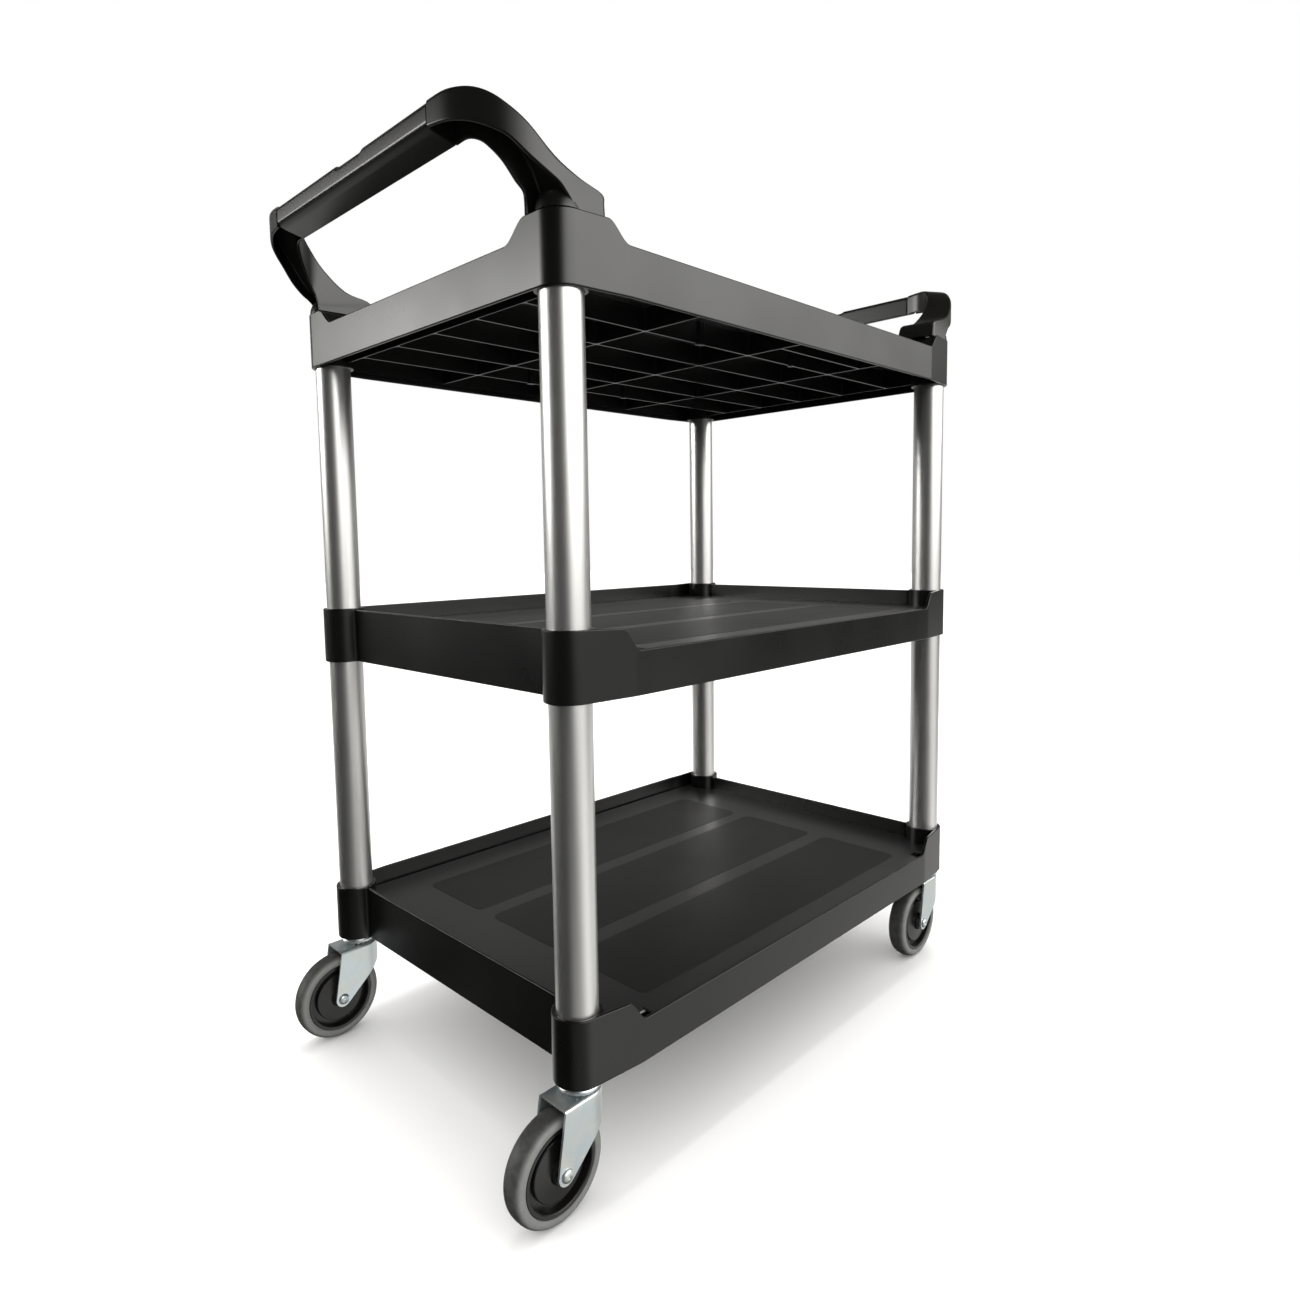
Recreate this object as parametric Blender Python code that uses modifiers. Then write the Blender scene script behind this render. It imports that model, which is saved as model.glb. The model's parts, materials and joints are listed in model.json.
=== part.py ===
"""Rolling utility cart: three moulded shelves on four tube uprights, push handles and swivel casters.

The origin is on the floor under the centre of the cart.  +X runs along the length, +Y across the width and
+Z up.  Both long sides are alike but for the tray rim, which drops to the deck on the -Y side.
"""
import math

import bmesh
import bpy
from mathutils import Matrix, Vector

# ---------------------------------------------------------------- driving dimensions, in metres
FIT_GAP = 0.0003            # clearance between pieces that touch or nest

POST_X = 0.3594             # upright axes
POST_Y = 0.2235
TUBE_RADIUS = 0.0210
TUBE_WALL = 0.0016
TUBE_SIDES = 24

SHELF_HEIGHT = 0.0685       # corner columns of the two lower shelves, top to bottom
TOP_SHELF_HEIGHT = 0.0657   # top shelf, from its lower edge to the towers' tops
SHELF_PITCH = 0.3685
BOTTOM_SHELF_Z = 0.1272
SIDE_FACE_Y = 0.2550        # outer faces of the long sides
SIDE_SHOULDER_Y = 0.2495    # long sides where they run into the corner columns
SIDE_CREASE_X = 0.3020      # where the shoulder meets the straight side
END_FACE_X = 0.3570         # short ends of the two lower shelves
TOP_END_FACE_X = 0.3850     # short ends of the top shelf
COLUMN_RADIUS = 0.0255
COLUMN_SIDES = 24
SOCKET_DEPTH = 0.0300
WALL = 0.0040
DECK_THICKNESS = 0.0040
RIM_TOP_DROP = 0.0020       # rims of the lower shelves below their column tops
DECK_DROP = 0.0235          # decks of the lower shelves below their column tops
TOP_RIM_DROP = 0.0190       # rim of the top shelf below its towers
TOP_DECK_DROP = 0.0310
TRAY_CORNER = 0.0150
RIB_THICKNESS = 0.0030
RIB_CELLS = (3, 2)          # underside pockets along X and Y
TOP_CELLS = (3, 2)
LIP_CLEARANCE_X = 0.3170    # the low side's opening at rim height
TOWER_X = 0.3120            # inboard faces of the towers that carry the handles
TOWER_Y = 0.1930
TOWER_SLOPE = 0.0100        # run of the slope from a tower top to the rim

SCREW_SPOTS = ((0.3260, 0.2370), (0.3210, 0.2110))
SCREW_RADIUS = 0.0025
SCREW_LENGTH = 0.0240
SCREW_HEAD_RADIUS = 0.0048
SCREW_HEAD_HEIGHT = 0.0030
SCREW_WELL_RADIUS = 0.0062
TOWER_PLATE = 0.0060

TOWER_TOP_Z = BOTTOM_SHELF_Z + 2 * SHELF_PITCH + SHELF_HEIGHT   # the handles' heights start here
GRIP_HALF_LENGTH = 0.1570   # from the centre to the seam with an arm
GRIP_TONGUE = 0.0150
GRIP_SECTION = ((0.4197, 0.0635), (0.4445, 0.0690), (0.4505, 0.0725), (0.4505, 0.0902), (0.4475, 0.0928),
                (0.4230, 0.0928), (0.4197, 0.0898))
TONGUE_X = (0.4255, 0.4450)
TONGUE_HEIGHTS = (0.0730, 0.0855)

ARM_CHAMFER = 0.0035
BEND_OUTER_CENTRE_X = 0.3657    # plan arcs of an arm's bend, both centred near the grip seam
BEND_INNER_CENTRE_X = 0.3724
BEND_CENTRE_Y = 0.1600
BEND_OUTER_RADIUS = 0.0850
BEND_INNER_RADIUS = 0.0470
BEND_HEIGHTS = (                # degrees round the bend; outer low, outer top, inner top and inner low edge
    (65, 0.0360, 0.0625, 0.0735, 0.0270),
    (53, 0.0505, 0.0765, 0.0822, 0.0417),
    (42, 0.0580, 0.0864, 0.0895, 0.0520),
    (30, 0.0638, 0.0922, 0.0933, 0.0605),
    (15, 0.0680, 0.0943, 0.0943, 0.0645),
)
FOOT_SECTIONS = (               # from the tower's top upwards, with corners in the same order
    ((0.3790, 0.2440, FIT_GAP), (0.3240, 0.2470, FIT_GAP), (0.3070, 0.1990, FIT_GAP), (0.3840, 0.2040, FIT_GAP)),
    ((0.3795, 0.2440, 0.0145), (0.3255, 0.2470, 0.0215), (0.3160, 0.1990, 0.0215), (0.3845, 0.2045, 0.0085)),
    ((0.3810, 0.2440, 0.0205), (0.3520, 0.2460, 0.0285), (0.3480, 0.2010, 0.0285), (0.3855, 0.2055, 0.0135)),
    ((0.3880, 0.2425, 0.0260), (0.3790, 0.2440, 0.0405), (0.3740, 0.2060, 0.0525), (0.3870, 0.2055, 0.0195)),
)
SEAM_HEIGHTS = (0.0705, 0.0932, 0.0932, 0.0635)

WHEEL_RADIUS = 0.0540
WHEEL_SIDES = 24
TREAD_DEPTH = 0.0115
TREAD_WIDTH = 0.0260
TREAD_FLANK_RISE = 0.0050   # flank of the tread from its seat to its widest place
TREAD_SHOULDER = (0.0040, 0.0025)   # how far the shoulder lies below the running face and inside the flank
TREAD_RUNNING_HALF = 0.0050
HUB_LIP_STEP = 0.0015
HUB_WIDTH = 0.0300
TRAIL = 0.0340              # swivel axis to axle, with every wheel trailing towards -X
CROWN_Z = 0.1167            # top of the fork's crown
CROWN_RADIUS = 0.0235
CROWN_BACK_X = -0.0340      # the crown's straight back edge, above the axle
CROWN_PLATE = 0.0030
LEG_INNER_Y = 0.0175
LEG_PLATE = 0.0025
LEG_OUTER_Y = LEG_INNER_Y + LEG_PLATE
LEG_END_RADIUS = 0.0100
LEG_FRONT = ((0.0050, 0.0810), (0.0180, 0.0925))     # the front edge's bends, in x and z
AXLE_RADIUS = 0.0040
AXLE_SIDES = 12
AXLE_HEAD_RADIUS = 0.0070
AXLE_HEAD_HEIGHT = 0.0032
AXLE_TAIL = 0.0060          # bolt end beyond the leg
NUT_HEIGHT = 0.0052
HUB_BOSS_RADIUS = 0.0120
HUB_WEB_RADII = (0.0150, 0.0370)
HUB_WEB_HALF = 0.0060
SLEEVE_RADIUS = 0.0065
BALL_RADIUS = 0.0016
BALL_TRACK_RADIUS = 0.0170
RACE_RADIUS = 0.0220
RACE_BOTTOM_Z = 0.1207
STEM_RADIUS = 0.0055
STEM_TOP_Z = 0.1612
KINGPIN_RADIUS = 0.0050
KINGPIN_HEAD_RADIUS = 0.0080
KINGPIN_BOTTOM_Z = 0.1100

CORNERS = {"front_left": (-1, -1), "front_right": (1, -1), "rear_left": (-1, 1), "rear_right": (1, 1)}
MATERIALS = {
    "black_plastic": ((0.030, 0.030, 0.031), 0.45, 0.0),
    "grip_plastic": ((0.020, 0.020, 0.021), 0.40, 0.0),
    "aluminium": ((0.72, 0.73, 0.72), 0.32, 1.0),
    "zinc_steel": ((0.74, 0.74, 0.72), 0.28, 1.0),
    "hub_plastic": ((0.025, 0.025, 0.026), 0.50, 0.0),
    "grey_rubber": ((0.23, 0.23, 0.23), 0.75, 0.0),
}


# ---------------------------------------------------------------- helpers
def clear_scene() -> None:
    """Remove whatever the scene holds."""
    for item in list(bpy.data.objects):
        bpy.data.objects.remove(item, do_unlink=True)


def collection(name: str):
    """Return a new collection linked to the scene."""
    group = bpy.data.collections.new(name)
    bpy.context.scene.collection.children.link(group)
    return group


def material(node_name: str, finish: str):
    """Return a Principled material for one node."""
    colour, roughness, metallic = MATERIALS[finish]
    made = bpy.data.materials.new(node_name + "_" + finish)
    made.use_nodes = True
    shader = made.node_tree.nodes["Principled BSDF"]
    shader.inputs["Base Color"].default_value = (*colour, 1.0)
    shader.inputs["Roughness"].default_value = roughness
    shader.inputs["Metallic"].default_value = metallic
    return made


def adopt(name: str, mesh, group, finish=None, parent=None):
    """Make an object of a mesh in a collection: a piece with its own material, or a cutter without one."""
    made = bpy.data.objects.new(name, mesh)
    made.parent = parent
    group.objects.link(made)
    if finish:
        mesh.materials.append(material(name, finish))
        mesh.shade_smooth()
        mesh.set_sharp_from_angle(angle=math.radians(30))
    else:
        made.hide_render = True
        made.display_type = "WIRE"
    return made


def mesh_from(builder) -> bpy.types.Mesh:
    """Turn a bmesh into a mesh and free it."""
    bmesh.ops.recalc_face_normals(builder, faces=builder.faces)
    mesh = bpy.data.meshes.new("mesh")
    builder.to_mesh(mesh)
    builder.free()
    return mesh


def add_box(builder, low, high) -> None:
    """Add a box between two corners to a bmesh."""
    centre = [(a + b) / 2 for a, b in zip(low, high)]
    size = [b - a for a, b in zip(low, high)]
    stretch = Matrix.Diagonal((*size, 1.0))
    bmesh.ops.create_cube(builder, size=1.0, matrix=Matrix.Translation(centre) @ stretch)


def add_cylinder(builder, centre, z_low: float, z_high: float, radius: float, sides: int) -> None:
    """Add an upright cylinder to a bmesh."""
    place = Matrix.Translation((centre[0], centre[1], (z_low + z_high) / 2))
    bmesh.ops.create_cone(builder, cap_ends=True, segments=sides, radius1=radius, radius2=radius,
                          depth=z_high - z_low, matrix=place)


def flat_outline(points, low: float, high: float, upright=False):
    """Extrude a closed outline: along Z, or along Y when upright, where points are (x, z)."""
    curve = bpy.data.curves.new("outline", "CURVE")
    curve.dimensions = "2D"
    curve.fill_mode = "BOTH"
    curve.extrude = (high - low) / 2
    spline = curve.splines.new("POLY")
    spline.points.add(len(points) - 1)
    for point, (u, v) in zip(spline.points, points):
        point.co = (u, v, 0.0, 1.0)
    spline.use_cyclic_u = True
    holder = bpy.data.objects.new("outline", curve)
    bpy.context.scene.collection.objects.link(holder)
    bpy.context.view_layer.update()
    mesh = bpy.data.meshes.new_from_object(holder.evaluated_get(bpy.context.evaluated_depsgraph_get()))
    bpy.data.objects.remove(holder, do_unlink=True)
    bpy.data.curves.remove(curve)
    builder = bmesh.new()
    builder.from_mesh(mesh)
    bpy.data.meshes.remove(mesh)
    bmesh.ops.remove_doubles(builder, verts=builder.verts, dist=0.00001)
    middle = (low + high) / 2
    if upright:
        place = Matrix.Translation((0, middle, 0)) @ Matrix.Rotation(math.pi / 2, 4, "X")
    else:
        place = Matrix.Translation((0, 0, middle))
    bmesh.ops.transform(builder, matrix=place, verts=builder.verts)
    return mesh_from(builder)


def turned(name: str, profile, sides: int, group, finish: str, parent, flat_down=False):
    """Turn a closed profile of (radius, height) points about Z with a Screw modifier."""
    builder = bmesh.new()
    corners = [builder.verts.new((radius, 0.0, height)) for radius, height in profile]
    for start, end in zip(corners, corners[1:] + corners[:1]):
        builder.edges.new((start, end))
    if flat_down:
        bmesh.ops.rotate(builder, verts=builder.verts, matrix=Matrix.Rotation(math.pi / sides, 3, "Z"))
    mesh = bpy.data.meshes.new(name)
    builder.to_mesh(mesh)
    builder.free()
    made = adopt(name, mesh, group, finish, parent)
    screw = made.modifiers.new("turn", "SCREW")
    screw.axis = "Z"
    screw.steps = sides
    screw.render_steps = sides
    screw.use_merge_vertices = True
    screw.merge_threshold = 0.00001
    return made


def spun(profile, sides: int) -> bpy.types.Mesh:
    """Turn an open profile of (radius, height) points, whose ends lie on Z, into a solid."""
    builder = bmesh.new()
    points = [builder.verts.new((radius, 0.0, height)) for radius, height in profile]
    edges = [builder.edges.new(pair) for pair in zip(points, points[1:])]
    bmesh.ops.spin(builder, geom=points + edges, cent=(0, 0, 0), axis=(0, 0, 1), angle=math.tau, steps=sides,
                   use_merge=True)
    bmesh.ops.remove_doubles(builder, verts=builder.verts, dist=0.00001)
    return mesh_from(builder)


def loft(rings) -> bpy.types.Mesh:
    """Join closed rings of matching (x, y, z) points into a solid with a face at each end."""
    builder = bmesh.new()
    rows = [[builder.verts.new(point) for point in ring] for ring in rings]
    for lower, upper in zip(rows, rows[1:]):
        for index, vert in enumerate(lower):
            following = (index + 1) % len(lower)
            builder.faces.new((vert, lower[following], upper[following], upper[index]))
    builder.faces.new(list(reversed(rows[0])))
    builder.faces.new(rows[-1])
    return mesh_from(builder)


def combine(target, operation: str, mesh, cutters) -> None:
    """Join or cut a target with a mesh by an exact Boolean."""
    tool = adopt(target.name + "_" + operation.lower(), mesh, cutters, parent=target.parent)
    step = target.modifiers.new(operation.lower(), "BOOLEAN")
    step.operation = operation
    step.solver = "EXACT"
    step.object = tool


def rounded_rectangle(half_x: float, half_y: float, radius: float, steps: int = 3):
    """Return the outline of a centred rectangle with round corners."""
    points = []
    for quarter, (sx, sy) in enumerate(((1, 1), (-1, 1), (-1, -1), (1, -1))):
        for step in range(steps + 1):
            angle = math.pi / 2 * (quarter + step / steps)
            points.append((sx * (half_x - radius) + radius * math.cos(angle),
                           sy * (half_y - radius) + radius * math.sin(angle)))
    return points


# ---------------------------------------------------------------- shelves
def side_outline(end_x: float):
    """Plan of a shelf, with shoulders where the long sides run into the corner columns."""
    quarter = [(end_x, SIDE_SHOULDER_Y), (SIDE_CREASE_X, SIDE_FACE_Y)]
    half = quarter + [(-x, y) for x, y in reversed(quarter)]
    return half + [(-x, -y) for x, y in half]


def underside_cells(end_x: float, low: float, high: float):
    """Pockets under a deck, which leave a grid of ribs between them."""
    builder = bmesh.new()
    inner_x = end_x - WALL
    inner_y = SIDE_SHOULDER_Y - WALL
    step_x = (2 * inner_x + RIB_THICKNESS) / RIB_CELLS[0]
    step_y = (2 * inner_y + RIB_THICKNESS) / RIB_CELLS[1]
    for column in range(RIB_CELLS[0]):
        for row in range(RIB_CELLS[1]):
            x = -inner_x + column * step_x
            y = -inner_y + row * step_y
            add_box(builder, (x, y, low), (x + step_x - RIB_THICKNESS, y + step_y - RIB_THICKNESS, high))
    return mesh_from(builder)


def post_cylinders(z_low: float, z_high: float, radius: float):
    """One cylinder on every upright axis."""
    builder = bmesh.new()
    for sx, sy in CORNERS.values():
        add_cylinder(builder, (sx * POST_X, sy * POST_Y), z_low, z_high, radius, COLUMN_SIDES)
    return mesh_from(builder)


def lower_shelf(name: str, base_z: float, from_below: bool, group, cutters):
    """Make the middle or bottom shelf: an open tray on a ribbed deck with four corner columns."""
    top = base_z + SHELF_HEIGHT
    rim = top - RIM_TOP_DROP
    deck = top - DECK_DROP
    shelf = adopt(name, flat_outline(side_outline(END_FACE_X), base_z, rim), group, "black_plastic")
    tray = rounded_rectangle(END_FACE_X - WALL, SIDE_SHOULDER_Y - WALL, TRAY_CORNER)
    combine(shelf, "DIFFERENCE", flat_outline(tray, deck, top + WALL), cutters)
    notch_run = rim - deck
    opening = [(-LIP_CLEARANCE_X, rim), (-LIP_CLEARANCE_X + notch_run, deck),
               (LIP_CLEARANCE_X - notch_run, deck), (LIP_CLEARANCE_X, rim),
               (LIP_CLEARANCE_X, top + WALL), (-LIP_CLEARANCE_X, top + WALL)]
    low_side = flat_outline(opening, -SIDE_FACE_Y - WALL, -SIDE_SHOULDER_Y + 2 * WALL, upright=True)
    combine(shelf, "DIFFERENCE", low_side, cutters)
    pockets = underside_cells(END_FACE_X, base_z - WALL, deck - DECK_THICKNESS)
    combine(shelf, "DIFFERENCE", pockets, cutters)
    combine(shelf, "UNION", post_cylinders(base_z, top, COLUMN_RADIUS), cutters)
    bore = TUBE_RADIUS + FIT_GAP
    combine(shelf, "DIFFERENCE", post_cylinders(top - SOCKET_DEPTH, top + WALL, bore), cutters)
    if from_below:
        sockets = post_cylinders(base_z - WALL, base_z + SOCKET_DEPTH, bore)
    else:
        sockets = post_cylinders(base_z - WALL, STEM_TOP_Z + FIT_GAP, STEM_RADIUS + FIT_GAP)
    combine(shelf, "DIFFERENCE", sockets, cutters)
    return shelf


def top_plan():
    """Plan of the top shelf, round about the upright axes at its corners."""
    quarter = [(TOP_END_FACE_X, POST_Y)]
    for angle in (math.radians(30), math.radians(60)):
        quarter.append((POST_X + COLUMN_RADIUS * math.cos(angle), POST_Y + COLUMN_RADIUS * math.sin(angle)))
    quarter += [(POST_X, SIDE_SHOULDER_Y), (SIDE_CREASE_X, SIDE_FACE_Y)]
    half = quarter + [(-x, y) for x, y in reversed(quarter)]
    return half + [(-x, -y) for x, y in half]


def cross_outline(wide_x: float, wide_y: float, narrow_x: float, narrow_y: float):
    """Outline of a cross: a rectangle with its corners left out."""
    quarter = [(wide_x, narrow_y), (narrow_x, narrow_y), (narrow_x, wide_y)]
    half = quarter + [(-x, y) for x, y in reversed(quarter)]
    return half + [(-x, -y) for x, y in half]


def top_pockets(low: float, high: float):
    """Pockets under the top deck, clear of the solid corners."""
    builder = bmesh.new()
    inner_x = TOWER_X - TOWER_SLOPE
    inner_y = TOWER_Y - TOWER_SLOPE
    step_x = (2 * inner_x + RIB_THICKNESS) / TOP_CELLS[0]
    step_y = 2 * (SIDE_SHOULDER_Y - WALL) / TOP_CELLS[1]
    for column in range(TOP_CELLS[0]):
        for row in range(TOP_CELLS[1]):
            x = -inner_x + column * step_x
            y = -SIDE_SHOULDER_Y + WALL + row * step_y
            add_box(builder, (x, y, low), (x + step_x - RIB_THICKNESS, y + step_y - RIB_THICKNESS, high))
    for end in (-1, 1):
        x_low, x_high = sorted((end * (inner_x + RIB_THICKNESS), end * (TOP_END_FACE_X - WALL)))
        for y_low, y_high in ((-inner_y, -RIB_THICKNESS / 2), (RIB_THICKNESS / 2, inner_y)):
            add_box(builder, (x_low, y_low, low), (x_high, y_high, high))
    return mesh_from(builder)


def top_shelf(base_z: float, group, cutters):
    """Make the top shelf: a shallow tray with a tower at each corner for the handles."""
    top = base_z + TOP_SHELF_HEIGHT
    rim = top - TOP_RIM_DROP
    deck = top - TOP_DECK_DROP
    shelf = adopt("top_shelf", flat_outline(top_plan(), base_z, top), group, "black_plastic")
    reach = TOP_END_FACE_X + WALL
    levels = ((rim, TOWER_SLOPE), (top, 0.0), (top + WALL, 0.0))
    above_rim = [[(x, y, z) for x, y in cross_outline(reach, reach, TOWER_X - slope, TOWER_Y - slope)]
                 for z, slope in levels]
    combine(shelf, "DIFFERENCE", loft(above_rim), cutters)
    tray = cross_outline(TOP_END_FACE_X - WALL, SIDE_SHOULDER_Y - WALL, TOWER_X - TOWER_SLOPE - WALL,
                         TOWER_Y - TOWER_SLOPE - WALL)
    tray_levels = [[(x, y, z) for x, y in tray] for z in (deck, top + WALL)]
    combine(shelf, "DIFFERENCE", loft(tray_levels), cutters)
    combine(shelf, "DIFFERENCE", top_pockets(base_z - WALL, deck - DECK_THICKNESS), cutters)
    sockets = post_cylinders(base_z - WALL, base_z + SOCKET_DEPTH, TUBE_RADIUS + FIT_GAP)
    combine(shelf, "DIFFERENCE", sockets, cutters)
    wells = bmesh.new()
    for sx, sy in CORNERS.values():
        for x, y in SCREW_SPOTS:
            spot = (sx * x, sy * y)
            add_cylinder(wells, spot, base_z - WALL, top - TOWER_PLATE, SCREW_WELL_RADIUS, 8)
    combine(shelf, "DIFFERENCE", mesh_from(wells), cutters)
    combine(shelf, "DIFFERENCE", screw_holes(top - TOWER_PLATE - WALL, top + WALL), cutters)
    return shelf


def screw_holes(z_low: float, z_high: float):
    """Clearance holes on every handle screw's axis."""
    builder = bmesh.new()
    for sx, sy in CORNERS.values():
        for x, y in SCREW_SPOTS:
            add_cylinder(builder, (sx * x, sy * y), z_low, z_high, SCREW_RADIUS + FIT_GAP, 8)
    return mesh_from(builder)


# ---------------------------------------------------------------- uprights
def upright(name: str, centre, z_low: float, z_high: float, group, cutters):
    """Make one length of upright tube, seated in the sockets above and below it."""
    outer = bmesh.new()
    add_cylinder(outer, centre, z_low, z_high, TUBE_RADIUS, TUBE_SIDES)
    tube = adopt(name, mesh_from(outer), group, "aluminium")
    inner = bmesh.new()
    add_cylinder(inner, centre, z_low - WALL, z_high + WALL, TUBE_RADIUS - TUBE_WALL, TUBE_SIDES)
    combine(tube, "DIFFERENCE", mesh_from(inner), cutters)
    return tube


# ---------------------------------------------------------------- handles
def arm_stations():
    """Cross-sections of a handle arm from its foot to the grip seam, each as four (x, y, height) corners.

    The corners are the outer skin's low and top edges, then the inner skin's top and low edges, and their
    heights are measured from the tower's top.
    """
    stations = list(FOOT_SECTIONS)
    for degrees, *heights in BEND_HEIGHTS:
        stations.append(bend_corners(degrees, heights))
    seam = [(x, GRIP_HALF_LENGTH, height) for x, _, height in bend_corners(0, SEAM_HEIGHTS)]
    return stations + [seam]


def bend_corners(degrees: float, heights):
    """Corners of one section of the bend: outer low, outer top, inner top and inner low."""
    cosine, sine = math.cos(math.radians(degrees)), math.sin(math.radians(degrees))
    outer = (BEND_OUTER_CENTRE_X + BEND_OUTER_RADIUS * cosine, BEND_CENTRE_Y + BEND_OUTER_RADIUS * sine)
    inner = (BEND_INNER_CENTRE_X + BEND_INNER_RADIUS * cosine, BEND_CENTRE_Y + BEND_INNER_RADIUS * sine)
    outer_low, outer_top, inner_top, inner_low = heights
    return ((*outer, outer_low), (*outer, outer_top), (*inner, inner_top), (*inner, inner_low))


def chamfered_ring(corners, width: float):
    """Replace each corner of a closed ring with two points, width along either side."""
    ring = []
    points = [Vector(corner) for corner in corners]
    for index, point in enumerate(points):
        before = points[index - 1] - point
        after = points[(index + 1) % len(points)] - point
        ring.append(point + before.normalized() * width)
        ring.append(point + after.normalized() * width)
    return ring


def handle_arm(corner: str, group, cutters):
    """Make one handle arm: a foot on the tower, swept outwards and round to the grip seam."""
    sx, sy = CORNERS[corner]
    rings = [chamfered_ring([(sx * x, sy * y, TOWER_TOP_Z + height) for x, y, height in corners], ARM_CHAMFER)
             for corners in arm_stations()]
    arm = adopt(corner + "_handle_arm", loft(rings), group, "grip_plastic")
    pocket = bmesh.new()
    x_low, x_high = sorted((sx * (TONGUE_X[0] - FIT_GAP), sx * (TONGUE_X[1] + FIT_GAP)))
    y_low, y_high = sorted((sy * (GRIP_HALF_LENGTH - WALL), sy * (GRIP_HALF_LENGTH + GRIP_TONGUE + FIT_GAP)))
    z_low, z_high = TOWER_TOP_Z + TONGUE_HEIGHTS[0] - FIT_GAP, TOWER_TOP_Z + TONGUE_HEIGHTS[1] + FIT_GAP
    add_box(pocket, (x_low, y_low, z_low), (x_high, y_high, z_high))
    combine(arm, "DIFFERENCE", mesh_from(pocket), cutters)
    thread_end = TOWER_TOP_Z + SCREW_LENGTH - TOWER_PLATE
    combine(arm, "DIFFERENCE", screw_holes(TOWER_TOP_Z - WALL, thread_end), cutters)
    return arm


def handle_grip(name: str, sx: int, group, cutters):
    """Make the straight grip bar that plugs into both arms of a handle."""
    half = GRIP_HALF_LENGTH - FIT_GAP
    section = [(sx * x, TOWER_TOP_Z + height) for x, height in GRIP_SECTION]
    bar = adopt(name, flat_outline(section, -half, half, upright=True), group, "grip_plastic")
    tongue = bmesh.new()
    x_low, x_high = sorted((sx * TONGUE_X[0], sx * TONGUE_X[1]))
    reach = GRIP_HALF_LENGTH + GRIP_TONGUE - FIT_GAP
    z_low, z_high = (TOWER_TOP_Z + height for height in TONGUE_HEIGHTS)
    add_box(tongue, (x_low, -reach, z_low), (x_high, reach, z_high))
    combine(bar, "UNION", mesh_from(tongue), cutters)
    return bar


def handle_screws(corner: str, group) -> None:
    """Make the two screws that hold one handle arm down on its tower."""
    sx, sy = CORNERS[corner]
    seat = TOWER_TOP_Z - TOWER_PLATE - FIT_GAP
    profile = [(0.0, seat - SCREW_HEAD_HEIGHT), (SCREW_HEAD_RADIUS, seat - SCREW_HEAD_HEIGHT),
               (SCREW_HEAD_RADIUS, seat), (SCREW_RADIUS, seat),
               (SCREW_RADIUS, seat + SCREW_LENGTH - FIT_GAP), (0.0, seat + SCREW_LENGTH - FIT_GAP)]
    for place, (x, y) in zip(("outer", "inner"), SCREW_SPOTS):
        screw = adopt(corner + "_handle_screw_" + place, spun(profile, 8), group, "zinc_steel")
        screw.location = (sx * x, sy * y, 0.0)


# ---------------------------------------------------------------- casters
def caster_stem(corner: str, centre, group):
    """Make the fixed part of a caster: stem, upper race plate and riveted kingpin."""
    race_top = BOTTOM_SHELF_Z - FIT_GAP
    head_top = CROWN_Z - CROWN_PLATE - FIT_GAP
    head_chamfer = 0.0010
    profile = [(0.0, STEM_TOP_Z), (STEM_RADIUS, STEM_TOP_Z), (STEM_RADIUS, race_top), (RACE_RADIUS, race_top),
               (RACE_RADIUS, RACE_BOTTOM_Z), (KINGPIN_RADIUS, RACE_BOTTOM_Z), (KINGPIN_RADIUS, head_top),
               (KINGPIN_HEAD_RADIUS, head_top), (KINGPIN_HEAD_RADIUS, KINGPIN_BOTTOM_Z + head_chamfer),
               (KINGPIN_HEAD_RADIUS - head_chamfer, KINGPIN_BOTTOM_Z), (0.0, KINGPIN_BOTTOM_Z)]
    stem = adopt(corner + "_caster_stem", spun(profile, 16), group, "zinc_steel")
    stem.location = (*centre, 0.0)
    return stem


def fork_leg_outline():
    """Side view of a fork leg: wide at the crown, with a slanted front edge and a round end at the axle."""
    end = [(-TRAIL + LEG_END_RADIUS * math.cos(angle), WHEEL_RADIUS + LEG_END_RADIUS * math.sin(angle))
           for angle in (math.radians(degrees) for degrees in range(170, 331, 40))]
    top = CROWN_Z - CROWN_PLATE / 2
    return [(LEG_FRONT[1][0], top), (CROWN_BACK_X + FIT_GAP, top)] + end + list(LEG_FRONT)


def caster_fork(corner: str, pivot, group, cutters):
    """Make the stamped fork: a crown, round in front and square behind, and two slanted legs."""
    crown = bmesh.new()
    add_cylinder(crown, (0.0, 0.0), CROWN_Z - CROWN_PLATE, CROWN_Z, CROWN_RADIUS, 16)
    fork = adopt(corner + "_caster_fork", mesh_from(crown), group, "zinc_steel", pivot)
    back = bmesh.new()
    half_y = LEG_INNER_Y + LEG_PLATE / 2
    add_box(back, (CROWN_BACK_X, -half_y, CROWN_Z - CROWN_PLATE + FIT_GAP), (0.0, half_y, CROWN_Z - FIT_GAP))
    combine(fork, "UNION", mesh_from(back), cutters)
    for side in (-1, 1):
        low, high = sorted((side * LEG_INNER_Y, side * LEG_OUTER_Y))
        combine(fork, "UNION", flat_outline(fork_leg_outline(), low, high, upright=True), cutters)
    hole = bmesh.new()
    add_cylinder(hole, (0.0, 0.0), CROWN_Z - 2 * CROWN_PLATE, CROWN_Z + CROWN_PLATE,
                 KINGPIN_RADIUS + FIT_GAP, 16)
    combine(fork, "DIFFERENCE", mesh_from(hole), cutters)
    combine(fork, "DIFFERENCE", axle_cylinder(AXLE_RADIUS + FIT_GAP, -HUB_WIDTH, HUB_WIDTH), cutters)
    return fork


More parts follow.
